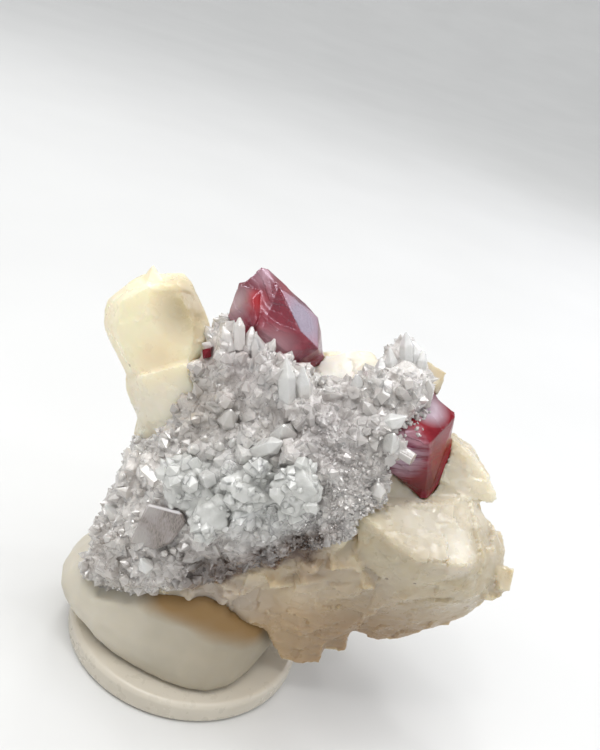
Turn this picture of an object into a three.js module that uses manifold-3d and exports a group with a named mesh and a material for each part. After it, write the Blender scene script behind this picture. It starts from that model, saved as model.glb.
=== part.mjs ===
// Cinnabar on matrix: red cinnabar crystals and a grey quartz druse on cream dolomite, gripped by a lump
// of mineral putty on a round plastic disc. Millimetres, +Z up. The front faces -Y, and the origin is the
// middle of the disc's underside.
import * as THREE from 'three';
import { ConvexGeometry } from 'three/addons/geometries/ConvexGeometry.js';
import { mergeVertices } from 'three/addons/utils/BufferGeometryUtils.js';
import Module from 'manifold-3d';

const kit = await Module();
kit.setup();

// ---------------------------------------------------------------- driving dimensions

const DISC_RADIUS = 12.5;
const DISC_THICKNESS = 2.4;
const DISC_EDGE_RADIUS = 0.8;
const DISC_SIDES = 44;

const GAP = 0.3;                 // clear space between the putty and the disc under it
const CUT_GAP = 0.2;             // half-size of the cube that widens a convex solid before it cuts
const WELD = 1e-4;
const SMALLEST_DETAIL = 0.02;    // edges and slivers below this size are closed up after the cuts

const PUTTY_HEIGHT = 13;
const PUTTY_CENTRE = [-0.8, 0.2];
const PUTTY_SIDES = 28;
const PUTTY_RINGS = 7;

const BACK_DEPTH = 7;            // how far the matrix reaches behind the disc's middle
const DRUSE_DEPTH = 3.2;         // how deep the crust's lumps reach into the matrix before it is cut
const LUMP_GROWTH = [1.015, 0.004];   // each lump's scale: the first one's, and the step to the next
const POINT_SPACING = 2.5;       // spacing of the small quartz crystals on the crust
const POINT_INSET = 0.4;         // how far inside the crust's outline the first row of them stands
const POINT_WIDTH = [1.1, 2.1];
const POINT_LENGTH = [1.9, 3.4];
const POINT_SUNK = 0.45;         // the share of a small crystal's length that is inside the crust
const POINT_SLOPE = 0.62;        // height of a crystal's pointed end over its width
const POINT_UNEVEN = 0.25;       // how much lower every other side of the pointed end starts
const SEED = 2381;

// ---------------------------------------------------------------- small helpers

// A repeatable stream of numbers from 0 to 1.
function stream(seed) {
  let state = seed >>> 0;
  return () => {
    state = (state + 0x6d2b79f5) >>> 0;
    let value = state;
    value = Math.imul(value ^ (value >>> 15), value | 1);
    value ^= value + Math.imul(value ^ (value >>> 7), value | 61);
    return ((value ^ (value >>> 14)) >>> 0) / 4294967296;
  };
}

function between(random, low, high) {
  return low + (high - low) * random();
}

// A closed three.js geometry as a solid that can be joined and cut.
function solidFrom(geometry) {
  const bare = new THREE.BufferGeometry();
  bare.setAttribute('position', geometry.getAttribute('position').clone());
  if (geometry.index) {
    bare.setIndex(geometry.index.clone());
  }
  const welded = mergeVertices(bare, WELD);
  const mesh = new kit.Mesh({
    numProp: 3,
    vertProperties: new Float32Array(welded.getAttribute('position').array),
    triVerts: new Uint32Array(welded.index.array),
  });
  return new kit.Manifold(mesh);
}

// The convex solid around a set of corners. A widen above 0 grows it on every side before a cut.
function hull(corners, widen = 0) {
  const signs = widen > 0 ? [-1, 1] : [0];
  const points = [];
  for (const [x, y, z] of corners) {
    for (const sx of signs) {
      for (const sy of signs) {
        for (const sz of signs) {
          points.push(new THREE.Vector3(x + sx * widen, y + sy * widen, z + sz * widen));
        }
      }
    }
  }
  return solidFrom(new ConvexGeometry(points));
}

function join(solids) {
  return solids.reduce((sum, solid) => sum.add(solid));
}

// The largest single piece of a solid, so that a cut leaves no loose chip.
function largestPiece(solid) {
  const pieces = solid.decompose();
  return pieces.reduce((best, piece) => (piece.volume() > best.volume() ? piece : best));
}

// The same corners moved along Y.
function shifted(corners, distance) {
  return corners.map(([x, y, z]) => [x, y + distance, z]);
}

// The same corners scaled about their middle.
function scaled(corners, scale) {
  const middle = [0, 1, 2].map((axis) => {
    const total = corners.reduce((sum, corner) => sum + corner[axis], 0);
    return total / corners.length;
  });
  const grow = (value, axis) => middle[axis] + (value - middle[axis]) * scale;
  return corners.map((corner) => corner.map(grow));
}

// A crystal given by its front corners: the same corners again at one depth behind, scaled towards their
// middle and let down by a drop.
function withBack({ front, depth, scale, drop = 0 }) {
  const back = scaled(front, scale).map(([x, , z]) => [x, depth, z - drop]);
  return [...front, ...back];
}

// ---------------------------------------------------------------- disc

function discSolid() {
  const profile = [new THREE.Vector2(0, 0)];
  const edgeSteps = 2;
  const inner = DISC_RADIUS - DISC_EDGE_RADIUS;
  const addCorner = (centreZ, startAngle) => {
    for (let step = 0; step <= edgeSteps; step += 1) {
      const angle = startAngle + (step / edgeSteps) * (Math.PI / 2);
      profile.push(new THREE.Vector2(
        inner + DISC_EDGE_RADIUS * Math.cos(angle),
        centreZ + DISC_EDGE_RADIUS * Math.sin(angle),
      ));
    }
  };
  addCorner(DISC_EDGE_RADIUS, -Math.PI / 2);
  addCorner(DISC_THICKNESS - DISC_EDGE_RADIUS, 0);
  profile.push(new THREE.Vector2(0, DISC_THICKNESS));
  const turned = new THREE.LatheGeometry(profile, DISC_SIDES);
  turned.rotateX(Math.PI / 2);
  return solidFrom(turned);
}

// ---------------------------------------------------------------- dolomite

// A dolomite rhombohedron: a cube drawn out along one body diagonal, turned by three angles in degrees.
const RHOMB_STRETCH = 0.86;

function rhombCorners({ centre, size, turn }) {
  const diagonal = new THREE.Vector3(1, 1, 1).normalize();
  const angles = turn.map((degrees) => THREE.MathUtils.degToRad(degrees));
  const rotation = new THREE.Euler(...angles, 'ZYX');
  const corners = [];
  for (const x of [-1, 1]) {
    for (const y of [-1, 1]) {
      for (const z of [-1, 1]) {
        const corner = new THREE.Vector3(x, y, z).multiplyScalar(size / 2);
        const along = corner.dot(diagonal);
        corner.addScaledVector(diagonal, along * (RHOMB_STRETCH - 1));
        corner.applyEuler(rotation);
        corners.push([centre[0] + corner.x, centre[1] + corner.y, centre[2] + corner.z]);
      }
    }
  }
  return corners;
}

// The tall block on the left: an upper crystal with a small nub on top, and a lower one under it.
const TOWER_UPPER = [
  [-13.6, 3.0, 37.4], [-9.9, 3.2, 38.7], [-11.9, -0.5, 37.9], [-9.6, 0.0, 38.8],
  [-14.5, 2.4, 36.6], [-16.3, 2.4, 34.0], [-16.3, 2.2, 32.6], [-16.0, 2.0, 31.4],
  [-15.4, 1.5, 30.9], [-14.2, -0.6, 35.7], [-14.0, -0.9, 32.8], [-13.6, 0.6, 29.4],
  [-12.3, 0.5, 27.6], [-11.6, -1.0, 29.1], [-8.9, 2.6, 38.4], [-7.9, 2.0, 37.5],
  [-6.5, 1.6, 35.4], [-5.4, 1.4, 34.5], [-8.8, -0.6, 37.6], [-7.3, -0.8, 35.9],
  [-6.5, -1.3, 32.2], [-5.5, 0.4, 32.9],
  [-15.6, 6.6, 32.7], [-10.3, 6.8, 36.2], [-15.4, 6.6, 29.0], [-7.0, 6.8, 32.2],
  [-12.1, 6.2, 24.9], [-6.2, 6.2, 27.3],
];
const TOWER_NUB = [
  [-12.6, 1.8, 39.2], [-13.4, 2.6, 37.4], [-12.4, 0.2, 37.5], [-11.6, 1.2, 38.6],
  [-10.8, 0.6, 38.2], [-12.1, 3.4, 37.2], [-11.8, 1.6, 36.0],
];
const TOWER_LOWER = [
  [-12.7, 1.2, 27.3], [-12.1, 0.4, 26.5], [-11.0, 0.0, 25.6], [-9.9, -0.6, 23.6],
  [-8.6, -1.0, 22.4], [-10.6, -1.8, 29.5], [-6.9, -1.9, 32.2], [-5.0, -2.2, 29.1],
  [-7.0, -2.6, 25.7], [-5.0, 0.0, 31.1], [-4.3, 0.0, 27.1], [-4.5, 0.0, 22.3],
  [-7.8, -0.5, 19.9],
  [-12.4, 6.6, 24.5], [-6.3, 6.6, 27.1], [-9.7, 6.4, 18.0], [-4.5, 6.4, 19.9],
];

// The body of the matrix, which the druse covers in front.
const BODY_LEFT = [
  [-9.3, -4.2, 9.5], [-7.9, -4.6, 7.5], [-8.6, -2.6, 15.0], [-7.9, -0.8, 20.6],
  [-4.8, -0.8, 28.5], [-1.6, -1.0, 31.9], [4.3, -2.6, 32.5], [7.0, -7.0, 25.3],
  [4.5, -6.6, 16.7], [0.1, -6.2, 9.7], [-4.7, -6.2, 12.6], [-5.9, -5.8, 7.9],
];
const BODY_RIGHT = [
  [-1.9, -0.4, 32.4], [3.5, -0.2, 34.0], [7.9, -0.4, 34.4], [11.8, 0.6, 36.2],
  [14.8, 0.4, 36.0], [14.0, -3.0, 31.7], [19.9, -1.8, 26.8], [13.0, -7.2, 22.2],
  [7.0, -7.0, 25.3], [10.6, -6.8, 19.3], [6.4, -6.4, 14.0], [3.4, -6.2, 10.7],
];

// The two cream crystals behind the top, and the blade behind the right-hand block.
const TOP_LEFT_CREAM = [
  [3.2, 1.2, 33.8], [5.0, 1.6, 35.6], [6.9, 1.8, 36.7], [8.7, 2.0, 37.3], [9.7, 2.0, 37.5],
  [7.9, -0.6, 34.7], [4.9, -0.6, 32.8], [11.3, 0.0, 36.4],
];
const TOP_RIGHT_CREAM = [
  [10.7, 2.0, 37.1], [14.6, 2.6, 38.2], [16.6, 2.6, 37.6], [16.4, 2.0, 36.4],
  [16.4, 1.6, 35.7], [12.2, -0.4, 36.1], [15.4, 0.0, 35.2],
];
const BLADE = [
  [18.8, 0.8, 32.1], [20.0, 0.6, 31.8], [21.5, 0.6, 31.2], [22.7, 0.4, 30.3],
  [25.1, -0.4, 28.2], [24.9, -0.8, 27.7], [23.7, -1.2, 27.2], [18.9, -1.4, 28.5],
  [19.9, -2.0, 26.7],
];

// The big block on the right, with a bright sloping top, and its dull underside.
const RIGHT_BLOCK = [
  [12.3, -8.0, 26.5], [13.1, -5.6, 26.7], [18.3, -2.8, 26.9], [22.7, -1.4, 27.7],
  [23.6, -0.6, 26.8], [25.6, -0.8, 25.0], [27.3, -1.2, 23.7], [28.0, -1.2, 22.6],
  [28.5, -1.2, 21.4], [28.7, -1.2, 20.2], [13.7, -8.6, 26.3], [15.7, -9.2, 25.5],
  [18.2, -9.6, 24.6], [21.2, -8.8, 24.8], [23.1, -7.8, 24.7], [13.5, -7.8, 21.8],
  [18.0, -7.2, 17.8], [19.6, -7.8, 19.3], [25.2, -6.0, 20.2], [26.7, -4.6, 20.1],
  [28.2, -3.0, 19.8],
];
const RIGHT_NUB = [
  [29.1, -1.6, 20.0], [28.6, -1.0, 20.3], [26.1, -5.0, 22.1], [26.7, -4.6, 20.1],
  [28.3, -2.8, 19.7], [26.0, -1.5, 20.5],
];
const RIGHT_UNDERSIDE = [
  [19.7, -3.2, 9.8], [21.2, -3.0, 10.9], [23.9, -2.6, 12.4], [24.8, -2.4, 13.8],
  [26.8, -2.2, 15.2], [25.2, -6.0, 20.2], [18.0, -7.2, 17.8], [13.5, -7.6, 21.3],
  [28.2, -2.8, 19.7], [14.4, -6.0, 15.4],
];

// The lump below, with the three teeth of its lower edge.
const LOWER_LUMP = [
  [0.9, -6.6, 9.6], [4.3, -6.0, 10.2], [6.3, -5.6, 9.6], [7.8, -5.4, 8.2],
  [3.1, -7.0, 14.8], [10.4, -7.6, 20.1], [13.6, -7.6, 21.7], [18.0, -7.2, 17.8],
  [16.4, -4.6, 11.0], [14.1, -5.2, 8.6],
];
const LUMP_STEP_LOW = [
  [6.8, -6.6, 12.8], [9.6, -8.0, 17.0], [13.8, -8.0, 19.9], [14.6, -6.4, 13.2],
  [11.7, -6.2, 9.2], [8.4, -6.2, 9.8],
];
const LUMP_STEP_HIGH = [
  [10.5, -8.4, 19.6], [13.2, -8.6, 22.4], [15.9, -8.2, 19.4], [14.8, -7.4, 16.8],
  [12.4, -7.6, 15.9],
];
const TOOTH_LEFT = [
  [8.7, -5.2, 7.4], [9.5, -5.2, 6.2], [10.7, -5.2, 5.0], [11.8, -5.0, 4.8],
  [14.6, -4.6, 5.5], [14.5, -4.6, 7.1], [7.1, -6.4, 11.5], [13.5, -6.2, 13.3],
];
const TOOTH_MIDDLE = [
  [14.4, -4.0, 6.9], [16.8, -3.6, 7.2], [16.6, -3.6, 10.1], [13.4, -6.2, 13.9],
  [15.5, -6.2, 15.4],
];
const TOOTH_RIGHT = [
  [16.6, -3.6, 10.0], [19.5, -3.2, 9.4], [20.7, -3.2, 11.2], [15.3, -6.4, 16.1],
  [19.2, -6.4, 17.5], [23.3, -2.8, 12.0],
];

// Rhombohedra that stand out of the back of the matrix, nearly parallel as grown-together crystals are.
const BACK_RHOMBS = [
  { centre: [-5.6, 4.6, 14.8], size: 8.2, turn: [40, 20, 15] },
  { centre: [1.5, 5.0, 19.5], size: 9.4, turn: [50, 10, 25] },
  { centre: [9.5, 4.8, 13.8], size: 8.0, turn: [38, 16, 40] },
  { centre: [16.0, 3.6, 19.0], size: 8.6, turn: [35, 5, 15] },
  { centre: [-1.5, 4.6, 27.4], size: 7.6, turn: [55, 24, 10] },
  { centre: [7.6, 5.0, 27.0], size: 9.0, turn: [60, 20, 5] },
  { centre: [15.2, 4.0, 29.2], size: 8.0, turn: [45, 30, 30] },
  { centre: [21.5, 1.8, 21.5], size: 6.6, turn: [30, 12, 20] },
  { centre: [2.5, 4.0, 10.8], size: 5.6, turn: [40, 15, 30] },
  { centre: [12.2, 6.6, 22.5], size: 5.4, turn: [52, 26, 35] },
  { centre: [-8.4, 4.4, 21.5], size: 5.0, turn: [42, 8, 12] },
  { centre: [4.5, 8.4, 15.0], size: 3.6, turn: [45, 18, 50] },
  { centre: [-2.2, 8.0, 22.6], size: 3.4, turn: [36, 28, 20] },
  { centre: [18.4, 6.4, 24.6], size: 4.0, turn: [58, 6, 28] },
  { centre: [10.8, 8.2, 18.0], size: 3.2, turn: [44, 32, 8] },
  { centre: [3.0, 7.6, 31.0], size: 3.6, turn: [62, 14, 34] },
];

// The crystals that are given by their front corners, with how their backs lie behind them.
const BACKED_CRYSTALS = [
  { front: BODY_LEFT, depth: BACK_DEPTH, scale: 0.86 },
  { front: BODY_RIGHT, depth: BACK_DEPTH, scale: 0.86 },
  { front: TOP_LEFT_CREAM, depth: 7.4, scale: 0.8, drop: 3.2 },
  { front: TOP_RIGHT_CREAM, depth: 6.4, scale: 0.8, drop: 2.6 },
  { front: BLADE, depth: 3.6, scale: 0.75 },
  { front: RIGHT_BLOCK, depth: 4.2, scale: 0.72 },
  { front: RIGHT_UNDERSIDE, depth: 3.6, scale: 0.7 },
  { front: LOWER_LUMP, depth: 4.2, scale: 0.78 },
  { front: LUMP_STEP_LOW, depth: -3, scale: 0.8 },
  { front: LUMP_STEP_HIGH, depth: -4, scale: 0.8 },
  { front: TOOTH_LEFT, depth: 1.6, scale: 0.7 },
  { front: TOOTH_MIDDLE, depth: 1.2, scale: 0.8 },
  { front: TOOTH_RIGHT, depth: 2.2, scale: 0.7 },
];

// Every convex crystal of the dolomite, as lists of corners.
const DOLOMITE_CRYSTALS = [
  TOWER_UPPER,
  TOWER_NUB,
  TOWER_LOWER,
  RIGHT_NUB,
  ...BACKED_CRYSTALS.map(withBack),
  ...BACK_RHOMBS.map(rhombCorners),
];

function dolomiteSolid(widen = 0) {
  return join(DOLOMITE_CRYSTALS.map((corners) => hull(corners, widen)));
}

// ---------------------------------------------------------------- cinnabar

const CINNABAR_TOP = [
  [-2.8, 1.6, 42.2], [-2.2, 1.7, 42.2], [-3.3, 1.4, 41.4], [-3.9, 1.0, 40.5],
  [-4.3, 0.8, 39.7], [-4.2, 0.4, 38.7], [-4.3, 0.6, 36.5], [-0.9, 1.8, 41.2],
  [0.6, 2.4, 40.3], [2.0, 2.8, 39.7], [3.5, 3.0, 38.7], [4.2, 2.8, 37.5],
  [5.1, 2.4, 35.3], [5.0, 2.0, 34.9], [-0.7, 0.4, 41.3], [2.4, -0.9, 38.4],
  [4.4, -0.2, 37.0], [1.7, -2.0, 36.6], [-0.9, -2.0, 37.8], [2.5, -1.2, 34.9],
  [-3.2, 5.2, 38.4], [1.4, 6.4, 38.2], [4.0, 6.0, 35.2], [-1.6, 5.6, 33.6], [2.2, 5.4, 32.6],
  [-2.4, -1.2, 34.4], [1.6, -1.4, 33.4],
];
const CINNABAR_TWIN = [
  [-4.4, 1.4, 40.2], [-2.6, -0.9, 40.0], [-1.6, -1.9, 38.2], [-4.4, -0.4, 37.4],
  [-3.2, 3.8, 40.0], [-1.4, 2.4, 41.5], [-2.2, -1.6, 36.0], [-4.6, 2.6, 36.6],
];
const CINNABAR_RIGHT = [
  [15.2, 1.2, 35.9], [18.3, 0.0, 35.1], [18.4, -0.4, 34.9], [18.8, 0.2, 32.6],
  [19.1, 0.6, 30.0], [15.4, -3.8, 34.0], [14.8, -5.2, 32.7], [16.4, -4.4, 33.4],
  [18.5, -2.4, 28.5], [19.6, 0.2, 27.6], [19.7, 0.8, 28.5], [18.2, -2.8, 27.1],
  [15.9, -4.2, 29.1], [13.8, -5.0, 29.8], [13.1, -5.4, 31.9], [12.9, -4.8, 33.6],
  [14.0, -1.8, 34.5], [13.4, 1.6, 34.6], [18.2, 2.6, 33.6], [19.0, 2.4, 29.4],
  [14.2, 1.4, 29.0],
];
const CINNABAR_CHIP = [
  [-5.7, -1.7, 34.0], [-4.7, -1.8, 33.6], [-5.3, -2.3, 33.4], [-5.0, -1.9, 34.5],
  [-5.5, -0.6, 33.2], [-4.9, -0.7, 34.2],
];

function cinnabarSolids(widen = 0) {
  return {
    top: hull(CINNABAR_TOP, widen).add(hull(CINNABAR_TWIN, widen)),
    right: hull(CINNABAR_RIGHT, widen),
    chip: hull(CINNABAR_CHIP, widen),
  };
}

// ---------------------------------------------------------------- quartz druse

// The lumps of the crust, by the corners of their outer faces.
const CRUST_LUMPS = [
  // the foot at the lower left
  [[-10.5, -6.0, 10.0], [-8.8, -6.2, 7.6], [-10.8, -5.5, 11.6], [-10.5, -4.6, 13.5],
    [-10.1, -3.8, 16.5], [-5.1, -8.0, 12.3], [-3.1, -8.6, 15.4], [-5.5, -7.8, 18.6],
    [-1.8, -7.2, 10.0], [-5.1, -6.8, 8.6], [-1.4, -8.7, 18.0]],
  // the left-hand side
  [[-10.1, -3.8, 16.5], [-10.0, -2.8, 19.1], [-9.6, -1.8, 21.9], [-8.5, -1.5, 22.8],
    [-7.0, -2.8, 25.5], [-5.5, -7.8, 18.6], [-0.7, -8.6, 19.9], [-2.9, -7.6, 24.1],
    [-3.8, -5.0, 26.6], [-4.0, -3.6, 28.0]],
  // between the tall block and the top cinnabar
  [[-7.0, -2.8, 25.5], [-4.8, -2.6, 28.8], [-5.5, -1.6, 32.9], [-5.1, -0.4, 35.0],
    [-4.3, -0.2, 36.4], [-2.5, -1.2, 37.2], [-0.3, -2.6, 37.0], [1.8, -2.8, 36.7],
    [-0.9, -4.4, 31.7], [2.6, -4.6, 33.1], [0.2, -6.0, 28.7], [-3.8, -5.0, 26.6]],
  // the middle
  [[-3.8, -5.0, 26.6], [-2.9, -7.6, 24.1], [-0.7, -8.8, 20.1], [3.6, -9.4, 22.2],
    [7.0, -9.6, 26.8], [9.1, -9.4, 28.7], [8.9, -7.0, 31.4], [4.0, -5.4, 31.9],
    [-0.3, -5.2, 30.2]],
  // the middle, lower down
  [[-1.8, -7.2, 10.0], [-3.1, -8.6, 15.4], [-0.7, -8.8, 20.1], [3.6, -9.4, 22.2],
    [7.5, -9.4, 24.9], [10.5, -8.2, 20.0], [6.4, -7.6, 15.0], [3.3, -7.2, 11.7]],
  // the fine-grained patch beside the right-hand block
  [[7.0, -9.6, 26.8], [8.9, -7.0, 31.4], [12.7, -5.8, 32.0], [13.9, -6.6, 29.2],
    [12.7, -7.4, 28.0], [12.2, -9.0, 27.2], [12.1, -9.0, 23.2], [10.5, -8.4, 20.1],
    [7.5, -9.4, 24.9]],
  // the upper right, beside the cream crystal, and up to the clear spikes
  [[1.9, -2.4, 36.0], [3.5, -1.8, 34.8], [5.4, -2.2, 33.7], [7.6, -6.0, 32.5],
    [4.1, -5.4, 31.4], [2.6, -4.6, 33.1], [8.9, -7.0, 31.4]],
  [[5.4, -2.2, 33.7], [7.9, -2.0, 34.9], [10.1, -1.6, 36.3], [10.9, -0.8, 37.2],
    [14.7, 0.0, 37.9], [15.1, -0.6, 37.1], [13.7, -3.0, 36.3], [12.2, -5.2, 34.0],
    [12.7, -5.8, 32.0], [8.9, -7.0, 31.4], [4.9, -5.4, 31.7]],
  [[10.8, -0.8, 36.9], [10.9, -0.4, 38.0], [11.8, 0.0, 39.0], [12.9, 0.2, 39.3],
    [14.4, 0.3, 38.5], [15.3, -0.6, 37.0], [13.8, -3.2, 36.2], [12.3, -3.0, 35.8]],
];

// Larger crystals by their root, their tip and their width.
const LARGE_POINTS = [
  // the clear spikes at the top right
  [[12.7, 0.2, 37.6], [11.4, 0.6, 41.1], 1.5],
  [[11.6, -0.2, 37.0], [10.4, 0.2, 39.3], 1.4],
  [[13.9, 0.4, 37.6], [13.6, 0.6, 39.9], 1.3],
  [[10.9, -0.4, 36.2], [10.0, 0.0, 38.2], 1.3],
  [[13.3, 0.6, 38.0], [12.6, 0.8, 40.1], 1.2],
  // the rounded clear crystals in the middle
  [[7.1, -8.0, 25.2], [7.8, -11.4, 29.9], 3.2],
  [[5.4, -7.6, 24.8], [5.0, -10.9, 29.3], 2.6],
  [[2.6, -7.6, 23.4], [1.6, -11.0, 27.5], 3.0],
  [[0.3, -7.6, 20.6], [-0.8, -10.9, 24.3], 2.9],
  [[-2.1, -6.6, 21.4], [-2.9, -9.9, 26.5], 2.8],
  [[3.2, -7.2, 26.2], [2.5, -9.9, 29.4], 2.2],
  // the upright crystals below the top cinnabar
  [[-1.2, -3.8, 28.0], [-1.5, -6.5, 31.7], 1.9],
  [[3.8, -4.0, 31.0], [1.9, -4.4, 37.1], 1.9],
  [[5.0, -3.6, 32.2], [3.5, -3.8, 36.7], 1.7],
  [[4.0, -4.6, 28.7], [3.7, -7.9, 32.6], 2.5],
  [[-2.0, -1.4, 34.4], [-3.9, -0.6, 37.6], 1.7],
  [[0.1, -2.4, 34.8], [-1.4, -2.4, 37.7], 1.6],
  // beside the right-hand cinnabar
  [[11.8, -4.8, 33.6], [13.4, -5.9, 36.0], 1.7],
  [[13.2, -5.0, 31.8], [12.9, -7.3, 34.8], 1.9],
  [[13.6, -6.2, 27.2], [12.9, -8.3, 30.2], 1.6],
  [[9.2, -2.0, 34.8], [8.3, -2.2, 36.9], 1.5],
  // the left-hand edge, with the grey flat-faced crystal
  [[-4.9, -6.8, 15.2], [-4.7, -8.9, 20.0], 3.4],
  [[-7.7, -1.8, 20.4], [-9.7, -2.4, 22.6], 1.7],
  [[-8.6, -3.0, 17.4], [-10.6, -3.3, 19.6], 1.9],
  [[-8.4, -4.2, 14.6], [-10.7, -4.9, 16.8], 2.1],
  [[-6.9, -5.8, 9.6], [-9.4, -8.3, 12.6], 2.4],
];

// A six-sided quartz crystal: a prism with a pointed end, from its root to its tip.
function quartzCorners(root, tip, width, twist) {
  const start = new THREE.Vector3(...root);
  const end = new THREE.Vector3(...tip);
  const axis = end.clone().sub(start);
  const length = axis.length();
  axis.normalize();
  const helper = Math.abs(axis.z) < 0.9 ? new THREE.Vector3(0, 0, 1) : new THREE.Vector3(1, 0, 0);
  const side = helper.clone().cross(axis).normalize();
  const other = axis.clone().cross(side);
  const pointHeight = Math.min(width * POINT_SLOPE, length / 2);
  const corners = [tip];
  for (let corner = 0; corner < 6; corner += 1) {
    const angle = twist + (corner * Math.PI) / 3;
    const uneven = corner % 2 === 0 ? 0 : pointHeight * POINT_UNEVEN;
    const ring = side.clone().multiplyScalar(Math.cos(angle) * width / 2);
    ring.addScaledVector(other, Math.sin(angle) * width / 2);
    for (const along of [0, length - pointHeight - uneven]) {
      const place = start.clone().addScaledVector(axis, along).add(ring);
      corners.push([place.x, place.y, place.z]);
    }
  }
  return corners;
}

// Neighbouring lumps are each drawn a little larger than their corners, so that they run into each other.
function crustLumps() {
  return CRUST_LUMPS.map((corners, number) => {
    const face = scaled(corners, LUMP_GROWTH[0] + LUMP_GROWTH[1] * number);
    return hull([...face, ...shifted(face, DRUSE_DEPTH)]);
  });
}

// Where the right-hand cinnabar shows bare beside the crust.
const BARE_PATCH = new THREE.Box3(new THREE.Vector3(12.4, -20, 27.6), new THREE.Vector3(30, 20, 35.2));

// Small crystals at jittered places of a square net, on the crust's front as seen along Y.
function smallPoints(crust) {
  const random = stream(SEED);
  const surface = new THREE.Mesh(geometryFrom(crust), new THREE.MeshBasicMaterial());
  surface.updateMatrixWorld(true);
  const box = new THREE.Box3().setFromObject(surface);
  const caster = new THREE.Raycaster();
  const forward = new THREE.Vector3(0, 1, 0);
  const crystals = [];
  for (let x = box.min.x + POINT_INSET; x < box.max.x; x += POINT_SPACING) {
    for (let z = box.min.z + POINT_INSET; z < box.max.z; z += POINT_SPACING) {
      const atX = x + between(random, -0.5, 0.5) * POINT_SPACING;
      const atZ = z + between(random, -0.5, 0.5) * POINT_SPACING;
      const lean = [between(random, -0.55, 0.55), between(random, -0.2, 0.9)];
      const width = between(random, ...POINT_WIDTH);
      const length = between(random, ...POINT_LENGTH);
      const twist = between(random, 0, Math.PI / 3);
      caster.set(new THREE.Vector3(atX, box.min.y - 1, atZ), forward);
      const hit = caster.intersectObject(surface)[0];
      if (hit === undefined || BARE_PATCH.containsPoint(hit.point)) {
        continue;
      }
      const axis = hit.face.normal.clone().multiplyScalar(1.1);
      axis.add(new THREE.Vector3(lean[0], 0, lean[1])).normalize();
      const root = hit.point.clone().addScaledVector(axis, -length * POINT_SUNK);
      const tip = hit.point.clone().addScaledVector(axis, length * (1 - POINT_SUNK));
      crystals.push(quartzCorners(root.toArray(), tip.toArray(), width, twist));
    }
  }
  return crystals;
}

function druseSolid(cutters) {
  const crust = join(crustLumps());
  const large = LARGE_POINTS.map(([root, tip, width], number) => quartzCorners(root, tip, width, number));
  const crystals = [...large, ...smallPoints(crust)];
  const whole = crust.add(join(crystals.map((corners) => hull(corners))));
  return largestPiece(whole.subtract(cutters)).simplify(SMALLEST_DETAIL);
}

// A plain outer form of the druse near the putty, a little larger than the crust, for cutting the putty.
const LUMPS_NEAR_PUTTY = 5;
const CRYSTAL_REACH = 1.5;

function druseCutter(widen) {
  return join(CRUST_LUMPS.slice(0, LUMPS_NEAR_PUTTY).map((corners) => {
    const deep = [...shifted(corners, -CRYSTAL_REACH), ...shifted(corners, DRUSE_DEPTH)];
    return hull(deep, widen);
  }));
}

// ---------------------------------------------------------------- putty

// The putty's radius in each direction and at each height from 0 to 1: a round foot with a blunt corner at
// the front right, a lip that leans out over the disc's rim at the left, and sides that close in upwards.
const PUTTY_FOOT = 10.2;
const PUTTY_TAPER = 0.36;        // how much narrower the top is than the foot
const PUTTY_SWELL = 0.6;         // how far the sides belly out halfway up
const PUTTY_CORNER = { angle: THREE.MathUtils.degToRad(-62), reach: 1.5, spread: 0.42 };
const PUTTY_LIP = { angle: THREE.MathUtils.degToRad(196), reach: 1.7, spread: 0.75 };

function bump(angle, { angle: centre, reach, spread }) {
  const apart = Math.atan2(Math.sin(angle - centre), Math.cos(angle - centre));
  return reach * Math.exp(-((apart / spread) ** 2));
}

function puttyRadius(angle, height) {
  const corner = bump(angle, PUTTY_CORNER) * (1 - height);
  const lip = bump(angle, PUTTY_LIP) * (0.5 + 1.6 * Math.sin(Math.PI * Math.min(1, height * 1.15)));
  const swell = PUTTY_SWELL * Math.sin(Math.PI * Math.min(1, height * 1.6));
  return PUTTY_FOOT * (1 - PUTTY_TAPER * height ** 1.7) + corner + lip + swell;
}

function puttySolid() {
  const base = DISC_THICKNESS + GAP;
  const positions = [];
  const faces = [];
  for (let ring = 0; ring < PUTTY_RINGS; ring += 1) {
    const height = ring / (PUTTY_RINGS - 1);
    for (let side = 0; side < PUTTY_SIDES; side += 1) {
      const angle = (side / PUTTY_SIDES) * 2 * Math.PI;
      const radius = puttyRadius(angle, height);
      positions.push(
        PUTTY_CENTRE[0] + radius * Math.cos(angle),
        PUTTY_CENTRE[1] + radius * Math.sin(angle),
        base + height * (PUTTY_HEIGHT - base),
      );
    }
  }
  const bottom = positions.length / 3;
  positions.push(PUTTY_CENTRE[0], PUTTY_CENTRE[1], base);
  positions.push(PUTTY_CENTRE[0], PUTTY_CENTRE[1], PUTTY_HEIGHT);
  for (let side = 0; side < PUTTY_SIDES; side += 1) {
    const next = (side + 1) % PUTTY_SIDES;
    for (let ring = 0; ring < PUTTY_RINGS - 1; ring += 1) {
      const low = ring * PUTTY_SIDES;
      const high = low + PUTTY_SIDES;
      faces.push(low + side, low + next, high + next);
      faces.push(low + side, high + next, high + side);
    }
    const top = (PUTTY_RINGS - 1) * PUTTY_SIDES;
    faces.push(bottom, next, side);
    faces.push(bottom + 1, top + side, top + next);
  }
  const geometry = new THREE.BufferGeometry();
  geometry.setAttribute('position', new THREE.Float32BufferAttribute(positions, 3));
  geometry.setIndex(faces);
  return solidFrom(geometry);
}

// ---------------------------------------------------------------- assembly

function geometryFrom(solid) {
  const mesh = solid.getMesh();
  const geometry = new THREE.BufferGeometry();
  geometry.setAttribute('position', new THREE.Float32BufferAttribute(mesh.vertProperties, 3));
  geometry.setIndex(Array.from(mesh.triVerts));
  const flat = geometry.toNonIndexed();
  flat.computeVertexNormals();
  return flat;
}

function node(name, solid, colour, roughness) {
  const material = new THREE.MeshStandardMaterial({ color: colour, roughness, name });
  const mesh = new THREE.Mesh(geometryFrom(solid), material);
  mesh.name = name;
  return mesh;
}

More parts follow.
